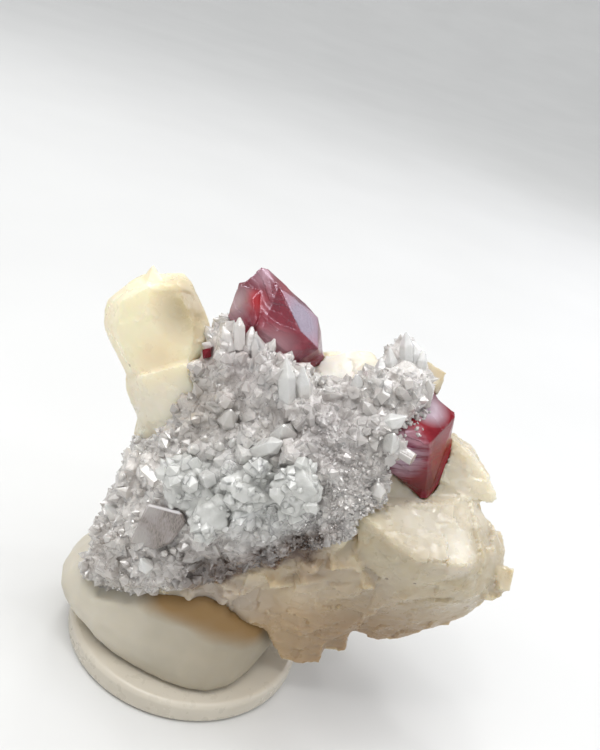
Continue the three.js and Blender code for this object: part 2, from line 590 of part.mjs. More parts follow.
const cinnabar = cinnabarSolids();
const cinnabarCut = cinnabarSolids(CUT_GAP);
const cinnabarCuts = join([cinnabarCut.top, cinnabarCut.right, cinnabarCut.chip]);
const dolomite = largestPiece(dolomiteSolid().subtract(cinnabarCuts));
const dolomiteCut = dolomiteSolid(CUT_GAP);
const druse = druseSolid(dolomiteCut.add(cinnabarCuts));
const putty = largestPiece(puttySolid().subtract(dolomiteCut).subtract(druseCutter(CUT_GAP)));

const object = new THREE.Group();
object.name = 'cinnabar_on_matrix';
object.add(
  node('base_disc', discSolid(), 0xe8e2cf, 0.45),
  node('putty', putty, 0xcfc5ad, 0.7),
  node('dolomite_matrix', dolomite, 0xe6dabb, 0.55),
  node('quartz_druse', druse, 0xb5aca6, 0.2),
  node('cinnabar_top', cinnabar.top, 0xa01828, 0.2),
  node('cinnabar_right', cinnabar.right, 0x8c1420, 0.2),
  node('cinnabar_chip', cinnabar.chip, 0x8c1420, 0.3),
);

export default object;
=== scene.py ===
"""Cinnabar on matrix: the looks of the specimen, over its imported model. Shapes are made in millimetres
and brought to metres when they are linked."""
import math

import bmesh
import bpy
import numpy as np
from mathutils import Euler, Matrix, Vector, noise
from mathutils.bvhtree import BVHTree


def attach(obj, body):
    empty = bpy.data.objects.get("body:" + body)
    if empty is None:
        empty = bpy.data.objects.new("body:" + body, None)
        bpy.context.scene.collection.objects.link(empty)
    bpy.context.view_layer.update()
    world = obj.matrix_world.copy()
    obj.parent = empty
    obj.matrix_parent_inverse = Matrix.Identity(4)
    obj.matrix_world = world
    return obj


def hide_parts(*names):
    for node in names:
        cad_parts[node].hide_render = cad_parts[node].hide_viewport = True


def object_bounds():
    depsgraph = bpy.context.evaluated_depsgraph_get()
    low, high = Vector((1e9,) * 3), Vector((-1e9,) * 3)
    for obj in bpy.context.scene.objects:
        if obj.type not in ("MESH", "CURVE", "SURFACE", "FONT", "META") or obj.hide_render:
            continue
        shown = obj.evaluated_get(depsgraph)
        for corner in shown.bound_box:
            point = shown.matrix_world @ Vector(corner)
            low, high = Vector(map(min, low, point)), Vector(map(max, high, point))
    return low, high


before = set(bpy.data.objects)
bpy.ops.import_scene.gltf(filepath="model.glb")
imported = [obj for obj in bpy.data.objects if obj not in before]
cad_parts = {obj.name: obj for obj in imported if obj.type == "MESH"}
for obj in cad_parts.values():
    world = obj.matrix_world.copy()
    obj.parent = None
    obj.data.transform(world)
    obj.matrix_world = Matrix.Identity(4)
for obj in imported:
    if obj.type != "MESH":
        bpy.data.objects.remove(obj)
CAD_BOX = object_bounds()

MM = 0.001

# ---- camera, in millimetres and pixels

CAMERA_PLACE = (3.56, -72.0, 67.4)
CAMERA_PITCH = 25.0  # degrees below the horizon
CAMERA_ROLL = 18.0  # degrees, anticlockwise from behind the camera
FOCAL_PIXELS = 850.0
PICTURE_HEIGHT = 750.0
SENSOR = 36.0
CLIP_START, CLIP_END = 0.001, 50.0  # metres


def make_camera():
    data = bpy.data.cameras.new("camera")
    data.sensor_width = SENSOR
    data.lens = FOCAL_PIXELS / PICTURE_HEIGHT * SENSOR
    data.clip_start = CLIP_START
    data.clip_end = CLIP_END
    camera = bpy.data.objects.new("camera", data)
    turn = Matrix.Rotation(math.radians(90.0 - CAMERA_PITCH), 4, "X")
    roll = Matrix.Rotation(math.radians(CAMERA_ROLL), 4, "Z")
    camera.matrix_world = Matrix.Translation(Vector(CAMERA_PLACE) * MM) @ turn @ roll
    bpy.context.scene.collection.objects.link(camera)
    bpy.context.scene.camera = camera


# ---- shader helpers

BORDER_GRAIN = 2.2  # the size of the bays and tongues along a swaying border


class Shader:
    """A material's nodes, with short calls for the few kinds used here. Sizes are in millimetres."""

    def __init__(self, name):
        self.material = bpy.data.materials.new(name)
        self.material.use_nodes = True
        self.nodes = self.material.node_tree.nodes
        self.links = self.material.node_tree.links
        self.main = self.nodes["Principled BSDF"]
        self.geometry = self.add("ShaderNodeNewGeometry")
        self.place = self.geometry.outputs["Position"]

    def feed(self, socket, value):
        """Sets a socket to a number, a vector or a colour, or links another node's output to it."""
        if isinstance(value, tuple) and socket.type == "RGBA":
            value += (1,)
        if isinstance(value, (int, float, tuple)):
            socket.default_value = value
        else:
            self.links.new(value, socket)

    def feed_all(self, node, inputs):
        for name, value in inputs.items():
            self.feed(node.inputs[name.replace("_", " ")], value)

    def add(self, kind, **inputs):
        node = self.nodes.new(kind)
        self.feed_all(node, inputs)
        return node

    def math(self, operation, first, second, clamp=False):
        node = self.add("ShaderNodeMath")
        node.operation = operation
        node.use_clamp = clamp
        self.feed(node.inputs[0], first)
        self.feed(node.inputs[1], second)
        return node.outputs[0]

    def times(self, product, *masks):
        """The product of several values, kept between 0 and 1."""
        for mask in masks:
            product = self.math("MULTIPLY", product, mask, clamp=True)
        return product

    def vector(self, operation, source, second=None, output="Vector"):
        node = self.add("ShaderNodeVectorMath")
        node.operation = operation
        self.feed(node.inputs[0], source)
        if second is not None:
            self.feed(node.inputs[1], second)
        return node.outputs[output]

    def rise(self, value, start, end):
        """0 where a value is at its start and 1 where it is at its end."""
        return self.add("ShaderNodeMapRange", Value=value, From_Min=start, From_Max=end).outputs["Result"]

    def noise(self, size, detail=4.0, roughness=0.55, distortion=0.0, stretch=None):
        """Noise whose features are about size across. A stretch is a turn and three scales."""
        where = self.place
        if stretch is not None:
            turn, scale = stretch
            where = self.add("ShaderNodeMapping", Vector=where, Rotation=turn, Scale=scale).outputs["Vector"]
        node = self.add("ShaderNodeTexNoise", Vector=where, Scale=1.0 / (size * MM), Detail=detail,
                        Roughness=roughness, Distortion=distortion)
        return node.outputs["Fac"]

    def cells(self, size):
        """How far each point is from the middle of its cell, for cells about size across."""
        node = self.add("ShaderNodeTexVoronoi", Vector=self.place, Scale=1.0 / (size * MM))
        return node.outputs["Distance"]

    def ramp(self, source, *stops):
        """A colour or grey ramp: each stop is a place and a colour or grey."""
        node = self.add("ShaderNodeValToRGB", Fac=source)
        elements = node.color_ramp.elements
        while len(elements) < len(stops):
            elements.new(0.5)
        for element, (place, colour) in zip(elements, stops):
            if isinstance(colour, (int, float)):
                colour = (colour,) * 3
            element.position = place
            element.color = tuple(colour) + (1,)
        return node.outputs["Color"]

    def mix(self, factor, first, second, blend="MIX"):
        node = self.add("ShaderNodeMix")
        node.data_type = "RGBA"
        node.blend_type = blend
        self.feed(node.inputs[0], factor)
        self.feed(node.inputs[6], first)
        self.feed(node.inputs[7], second)
        return node.outputs[2]

    def near(self, centre, reach, stretch=(1, 1, 1)):
        """1 at a place in the object, falling to 0 at reach from it."""
        shifted = self.vector("SUBTRACT", self.place, tuple(value * MM for value in centre))
        length = self.vector("LENGTH", self.vector("MULTIPLY", shifted, stretch), output="Value")
        return self.math("SUBTRACT", 1.0, self.math("DIVIDE", length, reach * MM), clamp=True)

    def facing(self, direction, low, high):
        """1 on faces that look one way and 0 on the others, between two cosines."""
        cosine = self.vector("DOT_PRODUCT", self.geometry.outputs["Normal"], direction, "Value")
        return self.rise(cosine, low, high)

    def across(self, direction, start, end, sway=0.0):
        """0 before one place along a direction and 1 after another, with a border that may sway."""
        value = self.vector("DOT_PRODUCT", self.place, direction, "Value")
        if sway:
            wander = self.math("SUBTRACT", self.noise(BORDER_GRAIN, detail=5.0, roughness=0.65), 0.5)
            value = self.math("ADD", value, self.math("MULTIPLY", wander, sway * MM))
        return self.rise(value, start * MM, end * MM)

    def bump(self, height, distance, strength, below=None):
        """Small unevenness, over another bump where there is one."""
        node = self.add("ShaderNodeBump", Height=height, Distance=distance * MM, Strength=strength)
        if below is not None:
            self.feed(node.inputs["Normal"], below)
        normal = node.outputs["Normal"]
        self.set(Normal=normal, Coat_Normal=normal)
        return normal

    def set(self, **inputs):
        """Feeds the inputs of the main shader."""
        self.feed_all(self.main, inputs)

    def colour(self, source):
        self.set(Base_Color=source)

    def roughness(self, size, *stops):
        """Roughness that wanders in patches about size across."""
        self.set(Roughness=self.ramp(self.noise(size), *stops))

    def scatter(self, weight, depth, shares=(1.0, 1.0, 1.0)):
        """Lets light spread under the surface: depth is how far, and shares is for red, green and blue."""
        self.set(Subsurface_Weight=weight, Subsurface_Radius=shares, Subsurface_Scale=depth * MM)


# ---- materials

def tinted(shader, base, tints):
    """Brings colours in around places of the object. Each tint is a place, its reach, its strength and its
    colour, and may end with how much faster it falls off along each axis."""
    for place, reach, strength, colour, *stretch in tints:
        base = shader.mix(shader.times(shader.near(place, reach, *stretch), strength), base, colour)
    return base


def darkened(shader, base, share, tone):
    """Multiplies a colour by a tone, where share is 1."""
    return shader.mix(share, base, shader.mix(1.0, base, tone, "MULTIPLY"))


DOLOMITE_TAN = (0.64, 0.50, 0.31)
DOLOMITE_CREAM = (0.72, 0.65, 0.47)
DOLOMITE_PALE = (0.78, 0.73, 0.60)
SPECK_BROWN = (0.09, 0.05, 0.03)
MATRIX_TINTS = [
    # the tall block on the left
    ((-10.5, -0.5, 34.0), 9.0, 1.8, (0.96, 0.86, 0.62)),
    ((-9.0, -1.5, 31.5), 3.5, 0.6, (0.80, 0.62, 0.36)),
    ((-8.0, 0.3, 37.1), 4.0, 1.4, (0.50, 0.42, 0.26)),
    ((-8.0, -1.5, 27.0), 5.5, 0.9, (0.80, 0.75, 0.63)),
    # the cream pieces behind the top
    ((6.0, 0.0, 36.0), 6.0, 1.5, (0.80, 0.76, 0.68)),
    # the tan lump below: its own tan, darkened further as painted shade on the lower parts
    ((14.0, -5.0, 9.0), 13.5, 1.5, (0.45, 0.32, 0.185), (0.62, 0.8, 1)),
]
RIGHT_START, RIGHT_END = 10.0, 15.0  # where along x the big block's darker tone comes in
RIGHT_TONE = (0.69, 0.65, 0.61)
BLOCK_TINTS = [
    # the big block's front and top
    ((19.0, -6.0, 26.6), 5.0, 1.2, (0.58, 0.53, 0.43), (0.7, 1, 1.6)),
    ((22.2, -6.6, 25.2), 2.2, 0.9, (0.82, 0.78, 0.68), (1, 0.8, 0.8)),
    ((24.0, -0.5, 30.0), 5.5, 1.3, (0.74, 0.68, 0.54)),
    # the bare strip under the druse
    ((2.5, -8.0, 12.6), 5.0, 1.3, (0.47, 0.40, 0.33), (0.7, 0.7, 1)),
    ((10.0, -8.6, 20.0), 5.0, 1.3, (0.42, 0.33, 0.23), (0.8, 0.7, 1)),
]


def dolomite_material():
    shader = Shader("dolomite")
    patches = shader.noise(5.0, distortion=0.6)
    base = shader.ramp(patches, (0.28, DOLOMITE_TAN), (0.44, DOLOMITE_CREAM), (0.66, DOLOMITE_PALE))
    base = tinted(shader, base, MATRIX_TINTS)
    base = darkened(shader, base, shader.across((1, 0, 0), RIGHT_START, RIGHT_END), RIGHT_TONE)
    base = stained(shader, tinted(shader, base, BLOCK_TINTS))
    specks = shader.ramp(shader.cells(1.9), (0.0, 1.0), (0.075, 1.0), (0.11, 0.0))
    rare = shader.ramp(shader.noise(6.0, detail=1.0), (0.60, 0.0), (0.66, 1.0))
    shader.colour(shader.mix(shader.times(specks, rare), base, SPECK_BROWN))
    shader.roughness(1.6, (0.3, 0.20), (0.7, 0.42))
    shader.bump(shader.noise(0.5, detail=5.0, roughness=0.6), 0.04, 0.35)
    shader.set(IOR=1.6)
    shader.scatter(0.65, 2.4, (1.0, 0.78, 0.48))
    return shader.material


# The druse ends low down along a slanting line, under which the matrix lies bare.
EDGE_SLOPE = 0.88
EDGE_HEIGHT = 13.8
EDGE_ACROSS = (-EDGE_SLOPE, 0.0, 1.0)
STAIN_BROWN = (0.10, 0.052, 0.030)
STAIN_SWAY = 3.0


def stained(shader, base):
    """The dark iron stain along the druse's lower edge, strongest towards the right."""
    above = shader.across(EDGE_ACROSS, EDGE_HEIGHT - 1.8, EDGE_HEIGHT - 0.8, STAIN_SWAY)
    below = shader.across(EDGE_ACROSS, EDGE_HEIGHT + 3.2, EDGE_HEIGHT + 1.9, STAIN_SWAY)
    left = shader.across((1, 0, 0), -2.5, 1.6)
    right = shader.across((1, 0, 0), 11.5, 9.5)
    front = shader.across((0, 1, 0), -4.0, -6.0)
    speckle = shader.ramp(shader.noise(0.7, detail=6.0, roughness=0.7), (0.34, 0.60), (0.54, 1.0))
    return shader.mix(shader.times(above, below, left, right, front, speckle), base, STAIN_BROWN)


DRUSE_TONES = ((0.53, 0.49, 0.46), (0.66, 0.62, 0.59), (0.80, 0.77, 0.73))  # dark, middle, pale
PALEST = (1.0, 0.97, 0.93)
FINE_PLACE = (11.5, -7.5, 27.5)  # the fine-grained right side
FINE_SHADE = 0.85  # its share of the dark tone
DRUSE_TINTS = [
    ((2.0, -9.6, 25.0), 6.0, 1.1, (0.76, 0.77, 0.75), (0.72, 1, 1.1)),  # the milky middle
    ((-1.5, -3.0, 35.0), 5.0, 0.6, (0.72, 0.64, 0.63)),  # below the top cinnabar
    # painted light: the left of the druse is made paler where light falls on it
    ((-6.5, -6.5, 21.0), 7.0, 0.8, (0.88, 0.83, 0.78)),  # the left
    ((-8.0, -6.0, 12.0), 5.0, 1.0, (0.50, 0.45, 0.40)),  # low on the left
    ((-4.6, -4.0, 30.0), 5.0, 1.1, (0.46, 0.41, 0.36)),  # beside the tall block
    ((7.6, -5.0, 31.4), 5.0, 0.9, (0.40, 0.365, 0.355)),  # the upper right
    ((3.2, -8.5, 16.0), 5.0, 1.3, (0.27, 0.23, 0.20), (0.6, 0.8, 1)),  # over the lower edge
]


def druse_colour(shader, dark, middle, pale):
    """The druse's colour by place."""
    base = shader.noise(3.0, detail=6.0, roughness=0.65)
    base = shader.ramp(base, (0.34, dark), (0.50, middle), (0.66, pale))
    fine = tuple(FINE_SHADE * value for value in dark)
    base = tinted(shader, base, [(FINE_PLACE, 7.0, 0.5, fine, (0.8, 1, 0.8))])
    return stained(shader, tinted(shader, base, DRUSE_TINTS))


def druse_material():
    """The mass between the crystals of the druse."""
    shader = Shader("druse")
    shader.colour(druse_colour(shader, *DRUSE_TONES))
    shader.roughness(0.6, (0.35, 0.04), (0.7, 0.18))
    shader.bump(shader.noise(0.4, roughness=0.6), 0.3, 0.8)
    shader.set(IOR=1.54, Transmission_Weight=0.05, Coat_Weight=1.0, Coat_IOR=2.0)
    shader.scatter(0.8, 0.5, (1.0, 0.97, 0.94))
    return shader.material


def quartz_material(name, clear, roughness, lift, depth):
    """Quartz crystal: clear is how far it is see-through, lift how much paler than the crust, 0 to 1, and
    depth how far light spreads in it."""
    shader = Shader(name)
    tones = [[value + (top - value) * lift for value, top in zip(tone, PALEST)] for tone in DRUSE_TONES]
    shader.colour(druse_colour(shader, *tones))
    shader.bump(shader.noise(0.5, roughness=0.6), 0.15, 0.6)
    shader.set(IOR=1.54, Roughness=roughness, Transmission_Weight=clear, Coat_Weight=1.0, Coat_IOR=2.0)
    shader.scatter(0.9, depth)
    return shader.material


MILKY_TONES = ((0.62, 0.62, 0.59), (0.82, 0.82, 0.79))


def milky_material():
    """Cloudy white quartz with a touch of green-blue."""
    shader = Shader("quartz_milky")
    shader.colour(shader.ramp(shader.noise(1.8, detail=5.0), *zip((0.35, 0.68), MILKY_TONES)))
    shader.roughness(0.8, (0.35, 0.06), (0.65, 0.25))
    shader.bump(shader.noise(0.5, detail=5.0), 0.16, 0.8)
    shader.set(IOR=1.54, Transmission_Weight=0.15, Coat_Weight=0.8, Coat_IOR=1.7, Coat_Roughness=0.08)
    shader.scatter(0.8, 0.4)
    return shader.material


SMOKY_TONES = ((0.19, 0.155, 0.135), (0.42, 0.36, 0.33))
SMOKY_HAZE = (0.55, 0.49, 0.47)
SMOKY_TINTS = [
    ((-6.4, -9.0, 16.6), 2.6, 1.2, (0.56, 0.52, 0.49)),
    ((-5.8, -9.2, 20.8), 1.6, 1.0, (0.58, 0.53, 0.51)),
]
# painted highlight: the white of the upper edge, where the top-facing facet catches the light
SMOKY_EDGE_HIGHLIGHT = (0.90, 0.85, 0.86)
SMOKY_EDGE_START, SMOKY_EDGE_END = 22.1, 22.25  # along the edge's direction


def smoky_material():
    """The grey-brown flat-faced crystal, faintly striped, with a white painted highlight along its upper
    edge.
    """
    shader = Shader("quartz_smoky")
    lines = shader.noise(0.5, stretch=((0, 0.3, 0), (6, 1, 1)))
    base = shader.ramp(lines, *zip((0.36, 0.62), SMOKY_TONES))
    base = shader.mix(shader.ramp(shader.noise(2.0), (0.42, 0.0), (0.62, 0.6)), base, SMOKY_HAZE)
    base = tinted(shader, base, SMOKY_TINTS)
    # painted highlight: a thin white band along the upper edge
    edge = shader.across((-0.2, 0, 1), SMOKY_EDGE_START, SMOKY_EDGE_END)
    shader.colour(shader.mix(edge, base, SMOKY_EDGE_HIGHLIGHT))
    shader.bump(lines, 0.2, 0.7)
    shader.set(IOR=1.54, Roughness=0.06, Transmission_Weight=0.2, Coat_Weight=0.5)
    shader.scatter(0.3, 0.6, (1.0, 0.9, 0.8))
    return shader.material


TOP_TINTS = [
    ((-2.4, -0.6, 39.6), 1.6, 1.2, (0.55, 0.015, 0.015)),  # the bright red patch
    ((-4.2, 0.0, 38.8), 2.2, 1.3, (0.55, 0.37, 0.38)),  # the pale left-hand edge
    ((-2.5, 1.2, 41.7), 1.5, 1.2, (0.52, 0.28, 0.33)),  # the tip
    ((0.4, -1.8, 36.8), 2.0, 1.2, (0.44, 0.24, 0.26), (0.7, 1, 1)),  # the foot
]
RIGHT_FACE = (0.59, -0.20, 0.78)  # the way the smooth right-hand face of the top crystal looks
RIGHT_FACE_MIDDLE = (2.2, 0.6, 39.0)
# painted reflection: the lilac-grey sheen in the middle of the smooth right-hand face
RIGHT_FACE_PAINTED_SHEEN = (0.16, 0.11, 0.15)
STRIPE_RED, STRIPE_LILAC = (0.14, 0.03, 0.06), (0.46, 0.32, 0.38)
STRIPED_PLACE = (14.4, -5.2, 31.4)
RIGHT_TINTS = [
    ((18.6, -1.0, 32.0), 3.6, 1.4, (0.28, 0.0, 0.004)),  # the deep red right-hand face
    ((15.8, -1.0, 35.4), 2.3, 1.6, (0.56, 0.44, 0.50)),  # the pale upper face
]


def cinnabar_material(name, deep, clear, gloss):
    """Cinnabar: glassy deep red, with bright red where light shines through and lilac reflections."""
    shader = Shader(name)
    dark = tuple(0.6 * value for value in deep)
    bright = tuple(min(1.0, 1.5 * value + 0.02) for value in deep)
    base = shader.ramp(shader.noise(2.4, roughness=0.6), (0.35, dark), (0.55, deep), (0.78, bright))
    base = tinted(shader, base, TOP_TINTS)
    # painted reflection: lilac-grey near the middle of the smooth right-hand face, only where the face looks
    # that way
    smooth = shader.times(shader.near(RIGHT_FACE_MIDDLE, 2.9), 1.7)
    smooth = shader.times(smooth, shader.facing(RIGHT_FACE, 0.90, 0.95))
    base = shader.mix(smooth, base, RIGHT_FACE_PAINTED_SHEEN)
    stripes = shader.noise(1.4, detail=3.0, stretch=((0, 0.3, 0), (0.3, 0.3, 2.2)))
    stripes = shader.ramp(stripes, (0.42, STRIPE_RED), (0.56, STRIPE_LILAC))
    base = tinted(shader, base, [(STRIPED_PLACE, 3.4, 1.4, stripes)])
    shader.colour(tinted(shader, base, RIGHT_TINTS))
    shader.roughness(0.9, (0.35, 0.04), (0.7, 0.16))
    shader.bump(shader.noise(0.4, stretch=((0.3, 0.5, 0.2), (1, 1, 7))), 0.04, 0.4)
    shader.set(IOR=2.0, Transmission_Weight=clear)
    shader.set(Specular_IOR_Level=gloss, Specular_Tint=(0.88, 0.80, 0.94))
    return shader.material


PUTTY_TONES = ((0.54, 0.50, 0.41), (0.66, 0.61, 0.51))
PUTTY_SHADE = (0.62, 0.59, 0.54)
PUTTY_SHADE_START, PUTTY_SHADE_END = -9.0, 4.0  # where along x the darker tone comes in
# Where light through the specimen makes the putty glow amber.
AMBER_PLACES = ((-1.5, -8.0, 10.6), (1.6, -7.8, 10.6), (4.4, -7.2, 9.6), (6.8, -5.6, 8.6))
AMBER = (0.29, 0.175, 0.065)


def putty_material():
    shader = Shader("putty")
    base = shader.ramp(shader.noise(7.0, detail=3.0), *zip((0.3, 0.7), PUTTY_TONES))
    base = darkened(shader, base, shader.across((1, 0, 0), PUTTY_SHADE_START, PUTTY_SHADE_END), PUTTY_SHADE)
    shader.colour(tinted(shader, base, [(place, 3.0, 1.5, AMBER, (0.6, 0.8, 1.3)) for place in AMBER_PLACES]))
    shader.roughness(3.0, (0.3, 0.5), (0.7, 0.66))
    prints = shader.noise(0.45, detail=3.0, stretch=((0.2, 0.4, 0.5), (1, 4, 1)))
    low = shader.bump(prints, 0.03, 0.25)
    shader.bump(shader.noise(2.6, detail=2.0), 0.25, 0.3, below=low)
    shader.set(IOR=1.48)
    shader.scatter(0.45, 1.6, (1.0, 0.8, 0.5))
    return shader.material


DISC_TONES = ((0.60, 0.55, 0.46), (0.65, 0.60, 0.51))


def disc_material():
    shader = Shader("disc")
    shader.colour(shader.ramp(shader.noise(9.0, detail=2.0), *zip((0.3, 0.7), DISC_TONES)))
    shader.roughness(1.5, (0.3, 0.24), (0.7, 0.34))
    shader.set(IOR=1.49)
    shader.scatter(0.3, 0.8, (1.0, 0.9, 0.7))
    return shader.material


FLOOR_TONES = ((0.68, 0.68, 0.67), (0.71, 0.71, 0.70))


def floor_material():
    shader = Shader("floor")
    shader.colour(shader.ramp(shader.noise(60.0, detail=2.0), *zip((0.3, 0.7), FLOOR_TONES)))
    shader.set(Roughness=0.6)
    return shader.material


# ---- mesh helpers, in millimetres

def new_object(name, mesh):
    piece = bpy.data.objects.new(name, mesh)
    bpy.context.scene.collection.objects.link(piece)
    return piece


def new_mesh(name, vertices, faces):
    mesh = bpy.data.meshes.new(name)
    mesh.from_pydata(vertices, [], faces)
    return mesh


def repeated(name, shapes, pattern):
    """One mesh out of many shapes with the same pattern of faces, each given by its points."""
    size = len(shapes[0])
    starts = range(0, size * len(shapes), size)
    faces = [tuple(start + corner for corner in face) for start in starts for face in pattern]
    return new_mesh(name, np.reshape(shapes, (-1, 3)).tolist(), faces)


def node_copy(node):
    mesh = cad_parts[node].data.copy()
    mesh.transform(Matrix.Scale(1 / MM, 4))
    mesh.materials.clear()
    return mesh


def remeshed(mesh, voxel):
    """The closed mesh rebuilt from even quads, voxel wide."""
    piece = new_object("work", mesh)
    modifier = piece.modifiers.new("remesh", "REMESH")
    modifier.mode = "VOXEL"
    modifier.voxel_size = voxel
    graph = bpy.context.evaluated_depsgraph_get()
    result = bpy.data.meshes.new_from_object(piece.evaluated_get(graph))
    bpy.data.objects.remove(piece)
    return result


def points_of(mesh):
    flat = np.empty(len(mesh.vertices) * 3)
    mesh.vertices.foreach_get("co", flat)
    return flat.reshape(-1, 3)


def normals_of(mesh):
    flat = np.empty(len(mesh.vertices) * 3)
    mesh.vertex_normals.foreach_get("vector", flat)
    return flat.reshape(-1, 3)


def set_points(mesh, points):
    mesh.vertices.foreach_set("co", points.ravel())
    mesh.update()


def raise_skin(mesh, lift):
    """Moves each point of a mesh along its normal."""
    set_points(mesh, points_of(mesh) + normals_of(mesh) * lift[:, None])


def waves(points, *sizes):
    """Smooth noise at each point, summed over pairs of a height and a width."""
    return np.array([
        sum(height * noise.noise(Vector(point) / width) for height, width in sizes) for point in points
    ])


def relaxed(mesh, rounds, share=0.5):
    """Smooths a mesh by moving each point towards its neighbours."""
    edges = np.empty(len(mesh.edges) * 2, dtype=np.int64)
    mesh.edges.foreach_get("vertices", edges)
    edges = edges.reshape(-1, 2)
    points = points_of(mesh)
    count = np.bincount(edges.ravel(), minlength=len(points))[:, None]
    for _ in range(rounds):
        total = np.zeros_like(points)
        for axis in range(3):
            total[:, axis] += np.bincount(edges[:, 0], points[edges[:, 1], axis], len(points))
            total[:, axis] += np.bincount(edges[:, 1], points[edges[:, 0], axis], len(points))
        points += share * (total / np.maximum(count, 1) - points)
    set_points(mesh, points)


def keep_in_cad_box(points):
    low = np.array(CAD_BOX[0]) / MM
    high = np.array(CAD_BOX[1]) / MM
    return np.clip(points, low, high)


def finished(name, mesh, material, smooth=False, sharp_from=None):
    """Links a millimetre mesh as a piece in metres. Where it is smooth, edges sharper than sharp_from
    degrees still stay sharp."""
    set_points(mesh, keep_in_cad_box(points_of(mesh)))
    mesh.transform(Matrix.Scale(MM, 4))
    mesh.materials.clear()
    mesh.materials.append(material)
    mesh.polygons.foreach_set("use_smooth", [smooth] * len(mesh.polygons))
    if sharp_from is not None:
        mesh.set_sharp_from_angle(angle=math.radians(sharp_from))
    mesh.update()
    piece = new_object(name, mesh)
    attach(piece, "root")
    return piece


def tree_of(node):
    """The surface of a CAD node in millimetres, for casting rays and finding distances."""
    mesh = node_copy(node)
    mesh.calc_loop_triangles()
    triangles = [tuple(face.vertices) for face in mesh.loop_triangles]
    tree = BVHTree.FromPolygons([tuple(point) for point in points_of(mesh)], triangles)
    bpy.data.meshes.remove(mesh)
    return tree


def joined(*parts):
    """One mesh out of several, which are used up."""
    vertices, faces = [], []
    for part in parts:
        start = len(vertices)
        vertices += points_of(part).tolist()
        faces += [tuple(start + corner for corner in face.vertices) for face in part.polygons]
        bpy.data.meshes.remove(part)
    return new_mesh("joined", vertices, faces)


def spots_on(mesh, count, random):
    """Evenly spread places on a mesh's faces, with the faces' normals."""
    mesh.calc_loop_triangles()
    corners = np.empty(len(mesh.loop_triangles) * 3, dtype=np.int64)
    mesh.loop_triangles.foreach_get("vertices", corners)
    points = points_of(mesh)[corners.reshape(-1, 3)]
    cross = np.cross(points[:, 1] - points[:, 0], points[:, 2] - points[:, 0])
    area = np.linalg.norm(cross, axis=1)
    chosen = random.choice(len(area), size=count, p=area / area.sum())
    first, second = np.sqrt(random.random(count)), random.random(count)
    share = np.stack([1 - first, first * (1 - second), first * second], axis=1)
    spots = (points[chosen] * share[:, :, None]).sum(axis=1)
    normals = cross[chosen] / np.maximum(area[chosen], 1e-12)[:, None]
    return spots, normals


def unit(vectors):
    return vectors / np.maximum(np.linalg.norm(vectors, axis=-1, keepdims=True), 1e-12)


def bevelled(mesh, offset):
    """Puts a narrow face along every edge of a mesh."""
    shape = bmesh.new()
    shape.from_mesh(mesh)
    bmesh.ops.recalc_face_normals(shape, faces=shape.faces)
    bmesh.ops.bevel(shape, geom=list(shape.edges), offset=offset, segments=1, affect="EDGES")
    shape.to_mesh(mesh)
    shape.free()


# ---- quartz crystals

QUARTZ_FACES = (
    [(side, (side + 1) % 6, (side + 1) % 6 + 6, side + 6) for side in range(6)]
    + [(side + 6, (side + 1) % 6 + 6, 12) for side in range(6)]
    + [(5, 4, 3, 2, 1, 0)]
)
POINT_MOST = 0.6  # the most of a crystal's length that its point takes up
RING_SPREAD = (0.8, 1.1)  # how unevenly its six corners stand round its axis
SHOULDER_SPREAD = ((0.85, 1.0), (0.85, 1.25))  # how unevenly its point starts, on even and odd corners
TIP_SWAY = 0.12  # how far its tip stands off its axis, as a share of its width


def quartz_mesh(name, roots, axes, lengths, widths, random, points=(0.45, 0.8)):
    """Many six-sided crystals in one mesh, each from its root along its axis to its point, whose height
    lies between two shares of its width."""
    count = len(roots)
    helper = np.where(np.abs(axes[:, 2:3]) < 0.9, [[0.0, 0.0, 1.0]], [[1.0, 0.0, 0.0]])
    side = unit(np.cross(helper, axes))
    other = np.cross(axes, side)
    twist = random.random(count) * math.pi / 3
    point_height = np.minimum(widths * random.uniform(*points, count), lengths * POINT_MOST)
    vertices = np.empty((count, 13, 3))
    for corner in range(6):
        angle = twist + corner * math.pi / 3
        wide = widths * 0.5 * random.uniform(*RING_SPREAD, count)
        ring = (np.cos(angle) * wide)[:, None] * side + (np.sin(angle) * wide)[:, None] * other
        top = lengths - point_height * random.uniform(*SHOULDER_SPREAD[corner % 2], count)
        vertices[:, corner] = roots + ring
        vertices[:, corner + 6] = roots + ring + axes * np.maximum(top, 0.05 * lengths)[:, None]
    tip_shift = side * (widths * random.uniform(-TIP_SWAY, TIP_SWAY, count))[:, None]
    vertices[:, 12] = roots + axes * lengths[:, None] + tip_shift
    return repeated(name, vertices, QUARTZ_FACES)


# ---- disc

DISC_RADIUS = 12.5
DISC_THICKNESS = 2.4
DISC_EDGE = 0.6
DISC_EDGE_STEPS = 8
DISC_SIDES = 160
DISC_FLAT_RING = 0.6  # where a ring of points lies in the flat faces, as a share of their radius


def make_disc(material):
    inner = DISC_RADIUS - DISC_EDGE
    rings = [(inner * DISC_FLAT_RING, 0.0)]
    for centre, start in ((DISC_EDGE, -90), (DISC_THICKNESS - DISC_EDGE, 0)):
        for step in range(DISC_EDGE_STEPS + 1):
            angle = math.radians(start + step * 90 / DISC_EDGE_STEPS)
            rings.append((inner + DISC_EDGE * math.cos(angle), centre + DISC_EDGE * math.sin(angle)))
    rings.append((inner * DISC_FLAT_RING, DISC_THICKNESS))
    vertices = [(0.0, 0.0, 0.0), (0.0, 0.0, DISC_THICKNESS)]
    faces = []
    for side in range(DISC_SIDES):
        angle = side / DISC_SIDES * 2 * math.pi
        vertices += [(radius * math.cos(angle), radius * math.sin(angle), height) for radius, height in rings]
        here = 2 + side * len(rings)
        there = 2 + (side + 1) % DISC_SIDES * len(rings)
        faces.append((0, there, here))
        faces.append((1, here + len(rings) - 1, there + len(rings) - 1))
        faces += [(here + k, there + k, there + k + 1, here + k + 1) for k in range(len(rings) - 1)]
    piece = finished("disc_moulded", new_mesh("disc", vertices, faces), material, smooth=True)
    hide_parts("base_disc")


# ---- putty

